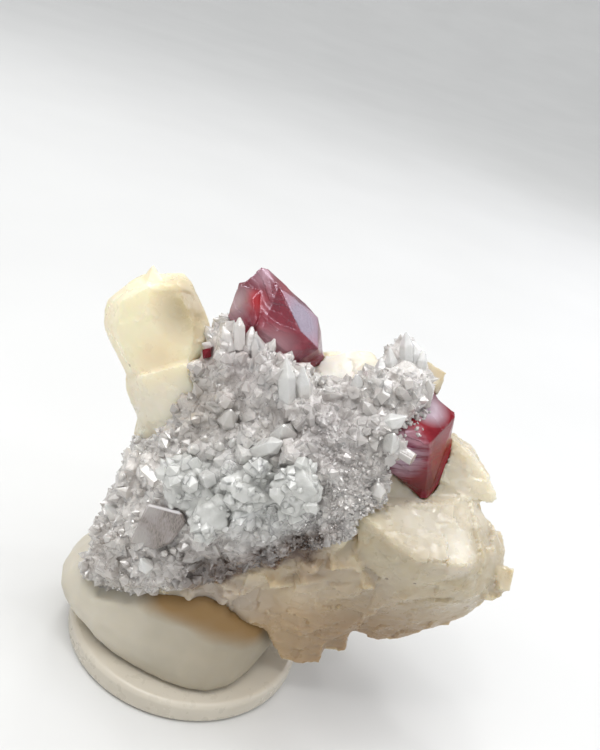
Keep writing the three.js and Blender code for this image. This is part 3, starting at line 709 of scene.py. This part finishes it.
PUTTY_VOXEL = 0.3
PUTTY_WAVES = ((0.22, 4.2), (0.06, 1.3))  # height and width
PUTTY_EVEN = 0.9  # how far above the disc the putty stays even
PRESS_REACH = 2.2  # the putty swells towards the specimen where it lies nearer than this
PRESS_UP = 0.9


def make_putty(material):
    mesh = remeshed(node_copy("putty"), PUTTY_VOXEL)
    relaxed(mesh, 6)
    points = points_of(mesh)
    lift = waves(points, *PUTTY_WAVES)
    held = [tree_of(node) for node in ("dolomite_matrix", "quartz_druse")]
    for index, point in enumerate(points):
        gaps = [tree.find_nearest(Vector(point), PRESS_REACH)[3] for tree in held]
        near = min([gap for gap in gaps if gap is not None], default=PRESS_REACH)
        lift[index] += PRESS_UP * (1 - near / PRESS_REACH)
    lift[points[:, 2] <= DISC_THICKNESS + PUTTY_EVEN] = 0
    raise_skin(mesh, lift)
    relaxed(mesh, 1)
    piece = finished("putty_lump", mesh, material, smooth=True)
    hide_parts("putty")


# ---- dolomite

DOLOMITE_TURN = Euler((math.radians(48), math.radians(15), math.radians(22)), "ZYX").to_matrix()
DOLOMITE_VOXEL = 0.255
CLEAVAGE_BLOCKS = ((2.3, 0.22), (0.8, 0.07))  # size and height
BEND, BEND_WIDTH = 0.7, 3.0  # how far the cleavage directions bend, and over what width
BEND_SEED = 1795486356  # noise_vector is drawn anew from the clock in each run unless it is seeded
DOLOMITE_WAVE = (0.16, 2.6)  # height and width
RHOMB_COUNT = 620
RHOMB_SMALLEST, RHOMB_RANGE, RHOMB_SKEW = 0.7, 1.7, 2.2
RHOMB_TURN = 0.12  # radians off the big crystals' directions
RHOMB_STRETCH = 0.86
RHOMB_SUNK = 0.36  # how deep a rhomb's middle lies, as a share of its size
RHOMB_CLEARANCE = 0.7  # how near a rhomb comes to other nodes, as a share of its size
TOWER_RIGHT, TOWER_FOOT = -4.0, 24.0  # the tall block on the left stands within these in x and z
TOWER_FADE_RIGHT, TOWER_FADE_WIDTH, TOWER_FADE_HEIGHT = -4.5, 2.0, 3.0
TOWER_CALM = 0.6  # how much lower the cleavage blocks are on it
FRONT_FOOT = 12.0
FRONT_TILT, SIDE_TILT = -0.3, -0.2  # a face looks to the front where its normal's y is below this
SIDE_BARE = 0.8
CUBE_CORNERS = np.array([(x, y, z) for x in (-0.5, 0.5) for y in (-0.5, 0.5) for z in (-0.5, 0.5)])
CUBE_FACES = [(0, 1, 3, 2), (4, 6, 7, 5), (0, 4, 5, 1), (2, 3, 7, 6), (0, 2, 6, 4), (1, 5, 7, 3)]


def stays_bare(spot, normal, random):
    """No small rhombs stand on the tall block or on front faces, and few on faces that turn to the side."""
    tower = spot[0] < TOWER_RIGHT and spot[2] > TOWER_FOOT
    front = spot[2] > FRONT_FOOT and normal[1] < FRONT_TILT
    side = spot[2] > FRONT_FOOT and normal[1] < SIDE_TILT
    return tower or front or side and random.random() < SIDE_BARE


def small_rhombs(source, random):
    """Small rhombohedra, nearly parallel, half sunk in the big crystals' faces."""
    spots, normals = spots_on(source, RHOMB_COUNT, random)
    others = [tree_of(node) for node in ("quartz_druse", "putty", "cinnabar_top", "cinnabar_right")]
    diagonal = np.ones(3) / math.sqrt(3)
    corners = CUBE_CORNERS + np.outer(CUBE_CORNERS @ diagonal, diagonal) * (RHOMB_STRETCH - 1)
    blocks = []
    for spot, normal in zip(spots, normals):
        size = RHOMB_SMALLEST + RHOMB_RANGE * random.random() ** RHOMB_SKEW
        size *= 0.5 if normal[1] < FRONT_TILT else 1.0
        sway = Euler(tuple(random.uniform(-RHOMB_TURN, RHOMB_TURN, 3))).to_matrix()
        if stays_bare(spot, normal, random):
            continue
        reach = size * RHOMB_CLEARANCE
        if all(tree.find_nearest(Vector(spot), reach)[0] is None for tree in others):
            turn = np.array(DOLOMITE_TURN @ sway)
            blocks.append(corners @ turn.T * size + (spot - normal * size * RHOMB_SUNK))
    return repeated("rhombs", blocks, CUBE_FACES)


# Blocks of the matrix that fill the corner under the druse's edge, by middle and size.
LEDGES = [((12.1, -7.2, 21.2), 3.0), ((10.2, -7.0, 18.6), 2.8), ((8.0, -6.8, 16.8), 2.4)]


def ledges():
    corners = CUBE_CORNERS @ np.array(DOLOMITE_TURN).T
    return repeated("ledges", [corners * size + np.array(middle) for middle, size in LEDGES], CUBE_FACES)


def shuffled(cells, seed):
    """A value from 0 to 1 for each cell of a grid, without any order from one cell to the next."""
    return np.sin(cells @ np.array([12.99, 78.23, 37.72]) + seed) * 43758.5 % 1


def blocky_lift(turned, size, height):
    """How far points are lifted for blocks along the cleavage directions, each with its level and tilt."""
    cells = np.floor(turned / size)
    inside = turned / size - cells - 0.5
    tilt = np.stack([shuffled(cells, seed) - 0.5 for seed in (1.0, 2.0, 3.0)], axis=1)
    return height * (shuffled(cells, 4.0) - 0.5 + 1.6 * (inside * tilt).sum(axis=1))


def make_dolomite(strip, material, random):
    """The matrix, with the bare strip that shows under the druse's lower edge."""
    source = node_copy("dolomite_matrix")
    rhombs = small_rhombs(source, random)
    mesh = remeshed(joined(source, rhombs, ledges(), strip), DOLOMITE_VOXEL)
    points = points_of(mesh)
    noise.seed_set(BEND_SEED)
    sway = np.array([noise.noise_vector(Vector(point) / BEND_WIDTH) for point in points])
    turned = points @ np.array(DOLOMITE_TURN) + BEND * sway
    lift = sum(blocky_lift(turned, size, height) for size, height in CLEAVAGE_BLOCKS)
    lift += waves(points, DOLOMITE_WAVE)
    tower = np.clip((points[:, 2] - TOWER_FOOT) / TOWER_FADE_HEIGHT, 0, 1)
    tower *= np.clip((TOWER_FADE_RIGHT - points[:, 0]) / TOWER_FADE_WIDTH, 0, 1)
    raise_skin(mesh, lift * (1 - TOWER_CALM * tower))
    piece = finished("dolomite_rock", mesh, material, smooth=True, sharp_from=24)
    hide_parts("dolomite_matrix")


# ---- quartz druse

CRUST_VOXEL_UNDER = 0.22  # for the bare crust
CRUST_VOXEL = 0.185  # for the crust with its crystals
CRUST_WAVES = ((0.25, 1.8), (0.08, 0.6))  # height and width
CRUST_LEVEL = 0.22  # the share of a large crystal's length that lies under the crust
CRUST_LEFT = 0.15  # how much of a large crystal's bump is left in the crust under it
BUMP_WIDE, BUMP_LONG = 0.58, 1.1  # how far the bump reaches, as shares of the crystal's width and length
EDGE_WAVES = 0.9, 0.35  # how far the lower edge wanders, in wide waves and in fine ones
BLUNT_LONG, BLUNT_WIDE = 0.97, 1.03  # the crystals in the mass, against the sharp ones over it
GROWN_COUNT = 4600
GROWN_AWAY = 0.4  # how much room a grown-in crystal needs in front of it
GROWN_SKEW = 1.6  # small ones outnumber large ones
GROWN_SUNK = 0.62  # the share of a grown-in crystal's length that lies under the crust
GROWN_CLEAR_SHARE = 0.4
GROWN_THINNEST, GROWN_RANGE = 0.5, 1.0
GROWN_SLENDER = (1.3, 2.2)  # lengths, as shares of the widths
GROWN_LEAN = 0.36
FINE_THINNER = 0.5  # how much thinner the crystals are on the fine-grained patch
FINE_LEFT, FINE_LEFT_FADE = 5.0, 5.0  # where along x that patch starts, and over what width
FINE_TOP, FINE_TOP_FADE = 33.0, 4.0  # the same along z, downwards
UPRIGHT_MIDDLE, UPRIGHT_REACH = (-1.0, -2.5, 34.0), 4.5
UPRIGHT_LONGER = 0.6  # how much longer they are at the top
UPRIGHT_STEADIER = 0.6  # how much less they lean there
UPRIGHT_WAY = (0.15, -0.25, 1.0)
UPRIGHT_PULL = 1.6
CLEAR_ROUND_LARGE = 0.52  # how close small crystals come to a large one, as a share of its width
# Where no small crystals stand, and how far round: the chip, the flat-faced crystal and the spikes.
KEPT_CLEAR = [
    ((-5.3, -2.0, 33.9), 1.6), ((-6.6, -2.6, 32.4), 1.0),
    ((-4.2, -8.8, 20.4), 1.3), ((-4.0, -8.6, 18.4), 1.3),
    ((12.4, 0.3, 39.8), 2.4), ((10.6, 0.0, 38.8), 1.7), ((14.0, 0.4, 39.2), 1.5), ((14.2, 2.0, 38.8), 1.7),
]


def flatten_large(points):
    """Takes the large crystals' bumps out of the crust, where their clear bodies stand instead."""
    for root, tip, width in LARGE_POINTS + MILKY_POINTS + [HIDDEN_POINT]:
        root, tip = np.array(root), np.array(tip)
        length = np.linalg.norm(tip - root)
        axis = (tip - root) / length
        along = (points - root) @ axis
        off = np.linalg.norm(points - root - np.outer(along, axis), axis=1)
        above = along - CRUST_LEVEL * length
        inside = (off < BUMP_WIDE * width) & (above > 0) & (along < BUMP_LONG * length)
        points[inside] -= np.outer(above[inside], axis) * (1 - CRUST_LEFT)


def crust_mesh():
    """The crust that the crystals stand on, its corners worn down."""
    mesh = remeshed(node_copy("quartz_druse"), CRUST_VOXEL_UNDER)
    points = points_of(mesh)
    flatten_large(points)
    set_points(mesh, points)
    relaxed(mesh, 7)
    raise_skin(mesh, waves(points_of(mesh), *CRUST_WAVES))
    return mesh


def edge_sway(points):
    """How far up or down the druse's lower edge wanders at each point."""
    wide = [noise.noise(Vector((x / 2.4, y / 6.0, 0))) for x, y, _ in points]
    fine = [noise.noise(Vector((x / 0.8, y, 5))) for x, y, _ in points]
    return EDGE_WAVES[0] * np.array(wide) + EDGE_WAVES[1] * np.array(fine)


def split_at_edge(crust):
    """Parts the crust along the druse's lower edge: the druse above, and the strip of bare matrix below."""
    points = points_of(crust)
    points[:, 2] += edge_sway(points)
    set_points(crust, points)
    halves = []
    for upper in (True, False):
        shape = bmesh.new()
        shape.from_mesh(crust)
        everything = shape.verts[:] + shape.edges[:] + shape.faces[:]
        cut = bmesh.ops.bisect_plane(
            shape, geom=everything, plane_co=(0, 0, EDGE_HEIGHT), plane_no=EDGE_ACROSS,
            clear_inner=upper, clear_outer=not upper,
        )
        rim = [part for part in cut["geom_cut"] if isinstance(part, bmesh.types.BMEdge)]
        bmesh.ops.holes_fill(shape, edges=rim)
        half = bpy.data.meshes.new("half")
        shape.to_mesh(half)
        shape.free()
        points = points_of(half)
        points[:, 2] -= edge_sway(points)
        set_points(half, points)
        halves.append(half)
    bpy.data.meshes.remove(crust)
    return halves


def fine_share(spots):
    """1 on the fine-grained patch at the right and low down, and 0 away from it."""
    right = np.clip((spots[:, 0] - FINE_LEFT) / FINE_LEFT_FADE, 0, 1)
    return right * np.clip((FINE_TOP - spots[:, 2]) / FINE_TOP_FADE, 0, 1)


def upright_share(spots):
    """1 at the top, where the crystals stand up side by side, and 0 away from it."""
    away = np.linalg.norm(spots - np.array(UPRIGHT_MIDDLE), axis=1) / UPRIGHT_REACH
    return np.clip(1.5 - away, 0, 1)


def is_kept_clear(spots):
    """Places beside the large crystals, the chip and the flat-faced crystal, where no small ones stand."""
    taken = np.zeros(len(spots), dtype=bool)
    for place, reach in KEPT_CLEAR:
        taken |= np.linalg.norm(spots - np.array(place), axis=1) < reach
    for root, tip, width in LARGE_POINTS:
        middle = (np.array(root) + np.array(tip)) / 2
        way = unit(np.array(tip) - np.array(root))
        along = np.clip((spots - middle) @ way, 0, None)
        taken |= np.linalg.norm(spots - middle - np.outer(along, way), axis=1) < CLEAR_ROUND_LARGE * width
    return taken


def grown_crystals(crust, random):
    """Roots, axes, lengths and widths of the crystals that are grown together with the crust."""
    spots, normals = open_spots(crust, GROWN_COUNT, random, GROWN_AWAY)
    free = ~is_kept_clear(spots)
    spots, normals = spots[free], normals[free]
    count = len(spots)
    fine, upright = fine_share(spots), upright_share(spots)
    sizes = random.uniform(0, 1, count) ** GROWN_SKEW
    widths = (GROWN_THINNEST + GROWN_RANGE * sizes) * (1 - FINE_THINNER * fine)
    lengths = widths * random.uniform(*GROWN_SLENDER, count) * (1 + UPRIGHT_LONGER * upright)
    rising = np.array(UPRIGHT_WAY) * upright[:, None] * UPRIGHT_PULL
    lean = random.normal(0, GROWN_LEAN, (count, 3)) * (1 - UPRIGHT_STEADIER * upright[:, None])
    axes = unit(normals + lean + rising)
    return spots - axes * (lengths * GROWN_SUNK)[:, None], axes, lengths, widths


def make_crust(crust, material, crystals, crystal_materials, random):
    """The druse: a mass that fills the gaps between crystals, and over it the crystals with sharp edges."""
    roots, axes, lengths, widths = crystals
    blunt = quartz_mesh("blunt", roots, axes, lengths * BLUNT_LONG, widths * BLUNT_WIDE, random)
    mesh = remeshed(joined(crust, blunt), CRUST_VOXEL)
    relaxed(mesh, 1)
    piece = finished("quartz_crust", mesh, material, smooth=True, sharp_from=30)
    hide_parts("quartz_druse")
    share = random.random(len(roots)) < GROWN_CLEAR_SHARE
    names = ("quartz_grown_clear", "quartz_grown_cloudy")
    for name, chosen, look in zip(names, (share, ~share), crystal_materials):
        grown = quartz_mesh(name, roots[chosen], axes[chosen], lengths[chosen], widths[chosen], random)
        piece = finished(name, grown, look)


def open_spots(source, count, random, away):
    """Places on a mesh's faces where no other node lies within a distance in front."""
    spots, normals = spots_on(source, count, random)
    others = [tree_of(node) for node in ("dolomite_matrix", "cinnabar_top", "cinnabar_right", "putty")]
    keep = []
    for index, (spot, normal) in enumerate(zip(spots, normals)):
        start = Vector(spot + normal * 0.05)
        hits = (tree.ray_cast(start, Vector(normal), away) for tree in others)
        if all(hit[0] is None for hit in hits):
            keep.append(index)
    return spots[keep], normals[keep]


SCATTER_AWAY = 0.8  # how much room a scattered crystal needs in front of it
SCATTER_SUNK = 0.35  # the share of its length that lies under the surface
SCATTER_PULL = (0, -0.1, 0.2)
SCATTER_SKEW = 1.8
SCATTER_UNEVEN = (0.8, 1.2)


def scatter_quartz(name, material, random, source, count, width, length, lean, choose):
    """Crystals scattered over a mesh, their width and length between two limits."""
    spots, normals = open_spots(source, count, random, SCATTER_AWAY)
    kept = choose(spots, random) & ~is_kept_clear(spots)
    spots, normals = spots[kept], normals[kept]
    number = len(spots)
    axes = unit(normals + random.normal(0, lean, (number, 3)) + np.array(SCATTER_PULL))
    sizes = random.uniform(0, 1, number) ** SCATTER_SKEW
    widths = width[0] + (width[1] - width[0]) * sizes
    lengths = (length[0] + (length[1] - length[0]) * sizes) * random.uniform(*SCATTER_UNEVEN, number)
    roots = spots - axes * (lengths * SCATTER_SUNK)[:, None]
    piece = finished(name, quartz_mesh(name, roots, axes, lengths, widths, random), material)


# The larger crystals, by root, tip and width, as they are in the solid druse.
LARGE_POINTS = [
    # the clear spikes at the top right
    ((12.7, 0.2, 37.6), (11.4, 0.6, 41.1), 1.5),
    ((11.6, -0.2, 37.0), (10.4, 0.2, 39.3), 1.4),
    ((13.9, 0.4, 37.6), (13.6, 0.6, 39.9), 1.3),
    ((10.9, -0.4, 36.2), (10.0, 0.0, 38.2), 1.3),
    ((13.3, 0.6, 38.0), (12.6, 0.8, 40.1), 1.2),
    # the upright crystals below the top cinnabar
    ((-1.2, -3.8, 28.0), (-1.5, -6.5, 31.7), 1.9),
    ((3.8, -4.0, 31.0), (1.9, -4.4, 37.1), 1.9),
    ((5.0, -3.6, 32.2), (3.5, -3.8, 36.7), 1.7),
    ((4.0, -4.6, 28.7), (3.7, -7.9, 32.6), 2.5),
    ((-2.0, -1.4, 34.4), (-3.9, -0.6, 37.6), 1.7),
    ((0.1, -2.4, 34.8), (-1.4, -2.4, 37.7), 1.6),
    ((-3.0, -2.6, 35.1), (-4.5, -1.9, 37.2), 1.2),
    ((-2.3, -2.6, 35.6), (-3.2, -2.1, 38.6), 1.2),
    ((-1.4, -2.6, 35.7), (-1.9, -1.7, 38.0), 1.0),
    ((-0.6, -2.8, 35.4), (-1.3, -2.6, 37.4), 1.4),
    ((0.4, -2.6, 35.3), (0.4, -2.1, 37.7), 0.9),
    ((1.4, -2.6, 35.0), (0.5, -2.6, 36.6), 1.5),
    # beside the right-hand cinnabar
    ((11.8, -4.8, 33.6), (13.4, -5.9, 36.0), 1.7),
    ((13.2, -5.0, 31.8), (12.9, -7.3, 34.8), 1.9),
    ((13.6, -6.2, 27.2), (12.9, -8.3, 30.2), 1.6),
    ((9.2, -2.0, 34.8), (8.3, -2.2, 36.9), 1.5),
    # the bright ones in the middle
    ((1.4, -6.4, 27.8), (4.0, -8.2, 31.2), 1.7),
    ((1.2, -6.0, 27.4), (0.9, -8.9, 29.0), 2.0),
    ((-2.6, -5.2, 26.7), (-2.9, -6.5, 28.3), 1.1),
    ((-1.4, -5.9, 27.1), (-1.2, -7.4, 28.6), 1.2),
    ((-0.3, -5.8, 27.8), (-0.2, -7.2, 29.2), 1.1),
    ((-3.3, -6.3, 26.4), (-3.6, -7.9, 27.6), 1.2),
    ((-1.2, -7.2, 24.6), (-1.6, -10.1, 26.4), 1.8),
    ((5.0, -9.0, 28.0), (8.3, -10.0, 28.8), 1.1),
    # round the flat-faced crystal
    ((-4.4, -8.0, 13.3), (-5.2, -9.8, 15.7), 1.8),
    ((-2.9, -8.2, 16.4), (-2.2, -9.7, 17.7), 0.9),
    ((-3.4, -8.3, 15.9), (-3.0, -9.8, 17.0), 0.8),
    ((-2.4, -8.3, 17.0), (-1.5, -9.7, 18.1), 0.8),
    # the left-hand edge
    ((-7.7, -1.8, 20.4), (-9.7, -2.4, 22.6), 1.7),
    ((-8.6, -3.0, 17.4), (-10.6, -3.3, 19.6), 1.9),
    ((-8.4, -4.2, 14.6), (-10.7, -4.9, 16.8), 2.1),
]


# The rounded crystals in the middle, which the milky mass is grown from.
MILKY_POINTS = [
    ((7.1, -8.0, 25.2), (7.8, -11.4, 29.9), 3.2),
    ((5.4, -7.6, 24.8), (5.0, -10.9, 29.3), 2.6),
    ((2.6, -7.6, 23.4), (1.6, -11.0, 27.5), 3.0),
    ((0.3, -7.6, 20.6), (-0.8, -10.9, 24.3), 2.9),
    ((-2.1, -6.6, 21.4), (-2.9, -9.9, 26.5), 2.8),
    ((3.2, -7.2, 26.2), (2.5, -9.9, 29.4), 2.2),
]
# The one that the flat-faced crystal stands for.
HIDDEN_POINT = ((-4.9, -6.8, 15.2), (-4.7, -8.9, 20.0), 3.4)
LARGE_SWELL = 1.05
LARGE_BEVEL = 0.07


def make_large_quartz(material, random):
    roots, tips, widths = (np.array(column) for column in zip(*LARGE_POINTS))
    lengths = np.linalg.norm(tips - roots, axis=1)
    axes = unit(tips - roots)
    mesh = quartz_mesh("quartz_large", roots, axes, lengths, widths * LARGE_SWELL, random, points=(0.7, 1.1))
    bevelled(mesh, LARGE_BEVEL)
    piece = finished("quartz_large", mesh, material)


# The milky lumps in the middle of the druse, by place and width.
MILKY_LUMPS = [
    ((-3.8, -8.6, 24.6), 2.2), ((-2.6, -8.3, 25.6), 2.4), ((-1.3, -8.6, 23.9), 2.9),
    ((-2.4, -8.6, 22.2), 2.6), ((0.1, -9.6, 23.4), 3.0), ((1.0, -9.4, 26.0), 2.6),
    ((2.2, -8.8, 26.9), 2.2), ((3.8, -9.1, 25.4), 2.7), ((5.6, -9.8, 28.0), 2.6),
    ((6.7, -8.8, 28.2), 2.4), ((5.4, -9.1, 23.8), 2.2), ((2.5, -9.6, 23.4), 2.3),
    ((7.6, -9.6, 26.6), 2.3), ((-0.4, -8.8, 20.9), 2.1),
]
MILKY_LEAN = 0.5
MILKY_WAY = (0.1, -0.7, 0.5)
MILKY_SLENDER = (1.1, 1.5)  # lengths, as shares of the widths
MILKY_SUNK = 0.66
MILKY_SWELL = 1.3
MILKY_VOXEL = 0.13
MILKY_WAVES = ((0.08, 0.9), (0.05, 0.35))  # height and width


def milky_mesh(random):
    """The milky mass: lumps and rounded crystals run together, worn and slightly uneven."""
    places, widths = (np.array(column) for column in zip(*MILKY_LUMPS))
    axes = unit(random.normal(0, MILKY_LEAN, (len(places), 3)) + np.array(MILKY_WAY))
    lengths = widths * random.uniform(*MILKY_SLENDER, len(places))
    roots = places - axes * lengths[:, None] * MILKY_SUNK
    lumps = quartz_mesh("lumps", roots, axes, lengths, widths * MILKY_SWELL, random)
    roots, tips, widths = (np.array(column) for column in zip(*MILKY_POINTS))
    lengths = np.linalg.norm(tips - roots, axis=1)
    points = quartz_mesh("points", roots, unit(tips - roots), lengths * 0.9, widths * 0.85, random)
    mesh = remeshed(joined(lumps, points), MILKY_VOXEL)
    relaxed(mesh, 3)
    raise_skin(mesh, waves(points_of(mesh), *MILKY_WAVES))
    return mesh


# The flat-faced crystal at the left: the corners of its front face, and how thick it is.
TABLE_FACE = [
    (-5.95, -9.37, 21.2), (-2.8, -9.94, 21.9), (-2.1, -9.98, 21.0), (-2.9, -9.61, 18.1), (-4.2, -9.29, 16.4),
    (-6.8, -8.82, 15.9),
]
TABLE_BACK = (0.1, 1.6, -0.8)  # from its front face to its back face
TABLE_SUNK = 0.25
TABLE_BEVEL = 0.2


def make_table(material):
    front = [Vector(corner) + Vector((0, TABLE_SUNK, 0)) for corner in TABLE_FACE]
    back = [corner + Vector(TABLE_BACK) for corner in front]
    count = len(front)
    faces = [tuple(range(count)), tuple(reversed(range(count, 2 * count)))]
    for corner in range(count):
        after = (corner + 1) % count
        faces.append((corner, corner + count, after + count, after))
    mesh = new_mesh("table", [tuple(corner) for corner in front + back], faces)
    bevelled(mesh, TABLE_BEVEL)
    piece = finished("quartz_table", mesh, material)


# ---- cinnabar

GAP_REACH = 0.7  # a crystal's skin is brought to the matrix where it lies nearer than this
STEPS_UP = np.array([0.28, -0.30, 0.91])  # the growth steps follow each other in this direction
STEP_SWAY, STEP_SWAY_WIDTH = 1.2, 2.0
STEP_GRAIN, STEP_GRAIN_WIDTH = 0.5, 0.7
SMOOTH_FROM, SMOOTH_FADE, SMOOTH_SHARE = 0.35, 0.3, 0.9  # smooth where a normal's x is above the first


def make_cinnabar(node, name, material, voxel, step, strip):
    """A cinnabar crystal with low growth steps, strip wide, on all faces but the smooth right-hand ones."""
    mesh = remeshed(node_copy(node), voxel)
    relaxed(mesh, 1, 0.3)
    points, normals = points_of(mesh), normals_of(mesh)
    matrix = tree_of("dolomite_matrix")
    height = points @ STEPS_UP
    to_right = np.clip((normals[:, 0] - SMOOTH_FROM) / SMOOTH_FADE, 0, 1)
    rough = step * (1 - SMOOTH_SHARE * to_right)
    for index, point in enumerate(points):
        spot = Vector(point)
        sway = STEP_SWAY * noise.noise(spot / STEP_SWAY_WIDTH)
        level = noise.cell(Vector((0.0, 0.0, height[index] / strip + sway)))
        grain = STEP_GRAIN * noise.noise(spot / STEP_GRAIN_WIDTH)
        point += normals[index] * rough[index] * (level - 0.5 + grain)
        nearest, _, _, away = matrix.find_nearest(spot, GAP_REACH)
        if nearest is not None:
            point += (np.array(nearest) - point) * min(1.0, 2.0 * (1 - away / GAP_REACH))
    set_points(mesh, points)
    piece = finished(name, mesh, material, smooth=True, sharp_from=22)
    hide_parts(node)


# ---- light and floor, in metres

# Small bright lamps on a dome, which the crystal faces catch.
SPARK_COUNT = 10
SPARK_DOME = 0.38
SPARK_LOW, SPARK_HIGH = 20.0, 80.0  # degrees above the floor
GOLDEN_ANGLE = math.pi * (3 - math.sqrt(5))
MIDDLE = (0.004, 0, 0.024)  # of the specimen
SKY = (0.80, 0.82, 0.85, 1)
SKY_STRENGTH = 0.58


def spark_places():
    for number in range(SPARK_COUNT):
        share = number / (SPARK_COUNT - 1)
        height = math.radians(SPARK_LOW + (SPARK_HIGH - SPARK_LOW) * share)
        around = number * GOLDEN_ANGLE
        flat = SPARK_DOME * math.cos(height)
        yield flat * math.cos(around), flat * math.sin(around), SPARK_DOME * math.sin(height)


def square_lamp(name, place, side, watts, colour=(1, 1, 1), target=MIDDLE):
    data = bpy.data.lights.new(name, "AREA")
    data.size = side
    data.energy = watts
    data.color = colour
    lamp = bpy.data.objects.new(name, data)
    lamp.location = place
    aim = Vector(target) - Vector(place)
    lamp.rotation_euler = aim.to_track_quat("-Z", "Y").to_euler()
    lamp.visible_camera = False
    bpy.context.scene.collection.objects.link(lamp)


def make_light():
    world = bpy.data.worlds.new("studio")
    world.use_nodes = True
    sky = world.node_tree.nodes["Background"]
    sky.inputs["Color"].default_value = SKY
    sky.inputs["Strength"].default_value = SKY_STRENGTH
    bpy.context.scene.world = world
    bpy.context.scene.view_settings.view_transform = "Standard"
    square_lamp("key", (-0.10, -0.12, 0.34), side=0.18, watts=0.20, colour=(1.0, 0.98, 0.95))
    square_lamp("rim", (0.20, 0.235, 0.17), side=0.16, watts=0.15, colour=(0.90, 0.90, 1.0))
    square_lamp("overhead", (0.0, 0.0, 2.2), side=1.6, watts=22.5, target=(0.0, 0.0, 0.0))
    for number, place in enumerate(spark_places()):
        square_lamp(f"spark_{number}", place, side=0.04, watts=0.08)


STAGE_FLAT = 0.7  # the flat part of the floor, before it sweeps up on every side
STAGE_RISE = 1.6
STAGE_SWEEP = 88  # degrees
STAGE_SIDES = 64
STAGE_STEPS = 10


def make_stage(material):
    rings = []
    for step in range(STAGE_STEPS + 1):
        angle = math.radians(STAGE_SWEEP) * step / STAGE_STEPS
        rings.append((STAGE_FLAT + STAGE_RISE * math.sin(angle), STAGE_RISE * (1 - math.cos(angle))))
    vertices = [(0.0, 0.0, 0.0)]
    faces = []
    for side in range(STAGE_SIDES):
        angle = side / STAGE_SIDES * 2 * math.pi
        vertices += [(radius * math.cos(angle), radius * math.sin(angle), height) for radius, height in rings]
        here = 1 + side * len(rings)
        there = 1 + (side + 1) % STAGE_SIDES * len(rings)
        faces.append((0, here, there))
        faces += [(here + k, here + k + 1, there + k + 1, there + k) for k in range(STAGE_STEPS)]
    mesh = new_mesh("floor", vertices, faces)
    mesh.polygons.foreach_set("use_smooth", [True] * len(mesh.polygons))
    mesh.materials.append(material)
    floor = new_object("floor", mesh)


# ---- the whole specimen

BITS_MIDDLE, BITS_REACH = (14.2, -3.0, 34.9), 2.8  # the small crystals on the right-hand cinnabar


def anywhere(spots, random):
    return np.ones(len(spots), dtype=bool)


def close_to(centre, reach):
    """Picks the spots near one place, fewer towards its edge."""
    def choose(spots, random):
        away = np.linalg.norm(spots - np.array(centre), axis=1) / reach
        return random.random(len(spots)) > away
    return choose


def coarse_side(spots, random):
    """Hardly any medium crystals on the fine-grained patch."""
    return random.random(len(spots)) > 0.95 * fine_share(spots)


def fine_side(spots, random):
    """Grains mostly on the fine-grained patch."""
    return random.random(len(spots)) < 0.12 + 0.88 * fine_share(spots)


def make_druse(crust, random):
    clear = quartz_material("quartz_clear", clear=0.3, roughness=0.01, lift=0.9, depth=0.2)
    small_clear = quartz_material("quartz_small_clear", clear=0.4, roughness=0.02, lift=0.35, depth=0.25)
    small_cloudy = quartz_material("quartz_small_cloudy", clear=0.15, roughness=0.05, lift=0.05, depth=0.3)
    crystals = grown_crystals(crust, random)
    make_crust(crust.copy(), druse_material(), crystals, (small_clear, small_cloudy), random)
    make_large_quartz(clear, random)
    milky, milky_look = milky_mesh(random), milky_material()
    piece = finished("quartz_milky_lumps", milky.copy(), milky_look, smooth=True, sharp_from=28)
    scatter_quartz("quartz_on_milky", milky_look, random, milky,
                   count=300, width=(0.5, 1.7), length=(0.5, 1.3), lean=0.35, choose=anywhere)
    make_table(smoky_material())
    scatter_quartz("quartz_on_cinnabar_right", small_clear, random, node_copy("cinnabar_right"),
                   count=1800, width=(0.2, 0.6), length=(0.3, 0.8), lean=0.6,
                   choose=close_to(BITS_MIDDLE, BITS_REACH))
    scatter_quartz("quartz_medium", small_clear, random, crust,
                   count=240, width=(0.6, 1.4), length=(1.2, 2.6), lean=0.4, choose=coarse_side)
    scatter_quartz("quartz_grains_clear", small_clear, random, crust,
                   count=9000, width=(0.2, 0.42), length=(0.4, 0.8), lean=0.5, choose=fine_side)
    scatter_quartz("quartz_grains_cloudy", small_cloudy, random, crust,
                   count=9000, width=(0.2, 0.4), length=(0.4, 0.7), lean=0.5, choose=fine_side)


def make_cinnabars():
    light = cinnabar_material("cinnabar_light", deep=(0.26, 0.014, 0.026), clear=0.3, gloss=0.5)
    dark = cinnabar_material("cinnabar_dark", deep=(0.22, 0.004, 0.010), clear=0.2, gloss=0.12)
    make_cinnabar("cinnabar_top", "cinnabar_crystal_top", light, voxel=0.1, step=0.05, strip=0.42)
    make_cinnabar("cinnabar_right", "cinnabar_crystal_right", dark, voxel=0.09, step=0.07, strip=0.3)
    make_cinnabar("cinnabar_chip", "cinnabar_crystal_chip", dark, voxel=0.05, step=0.02, strip=0.42)


make_camera()
make_light()
make_stage(floor_material())
make_disc(disc_material())
make_putty(putty_material())
draws = np.random.default_rng(7)
druse_crust, bare_strip = split_at_edge(crust_mesh())
make_dolomite(bare_strip, dolomite_material(), draws)
make_druse(druse_crust, draws)
make_cinnabars()
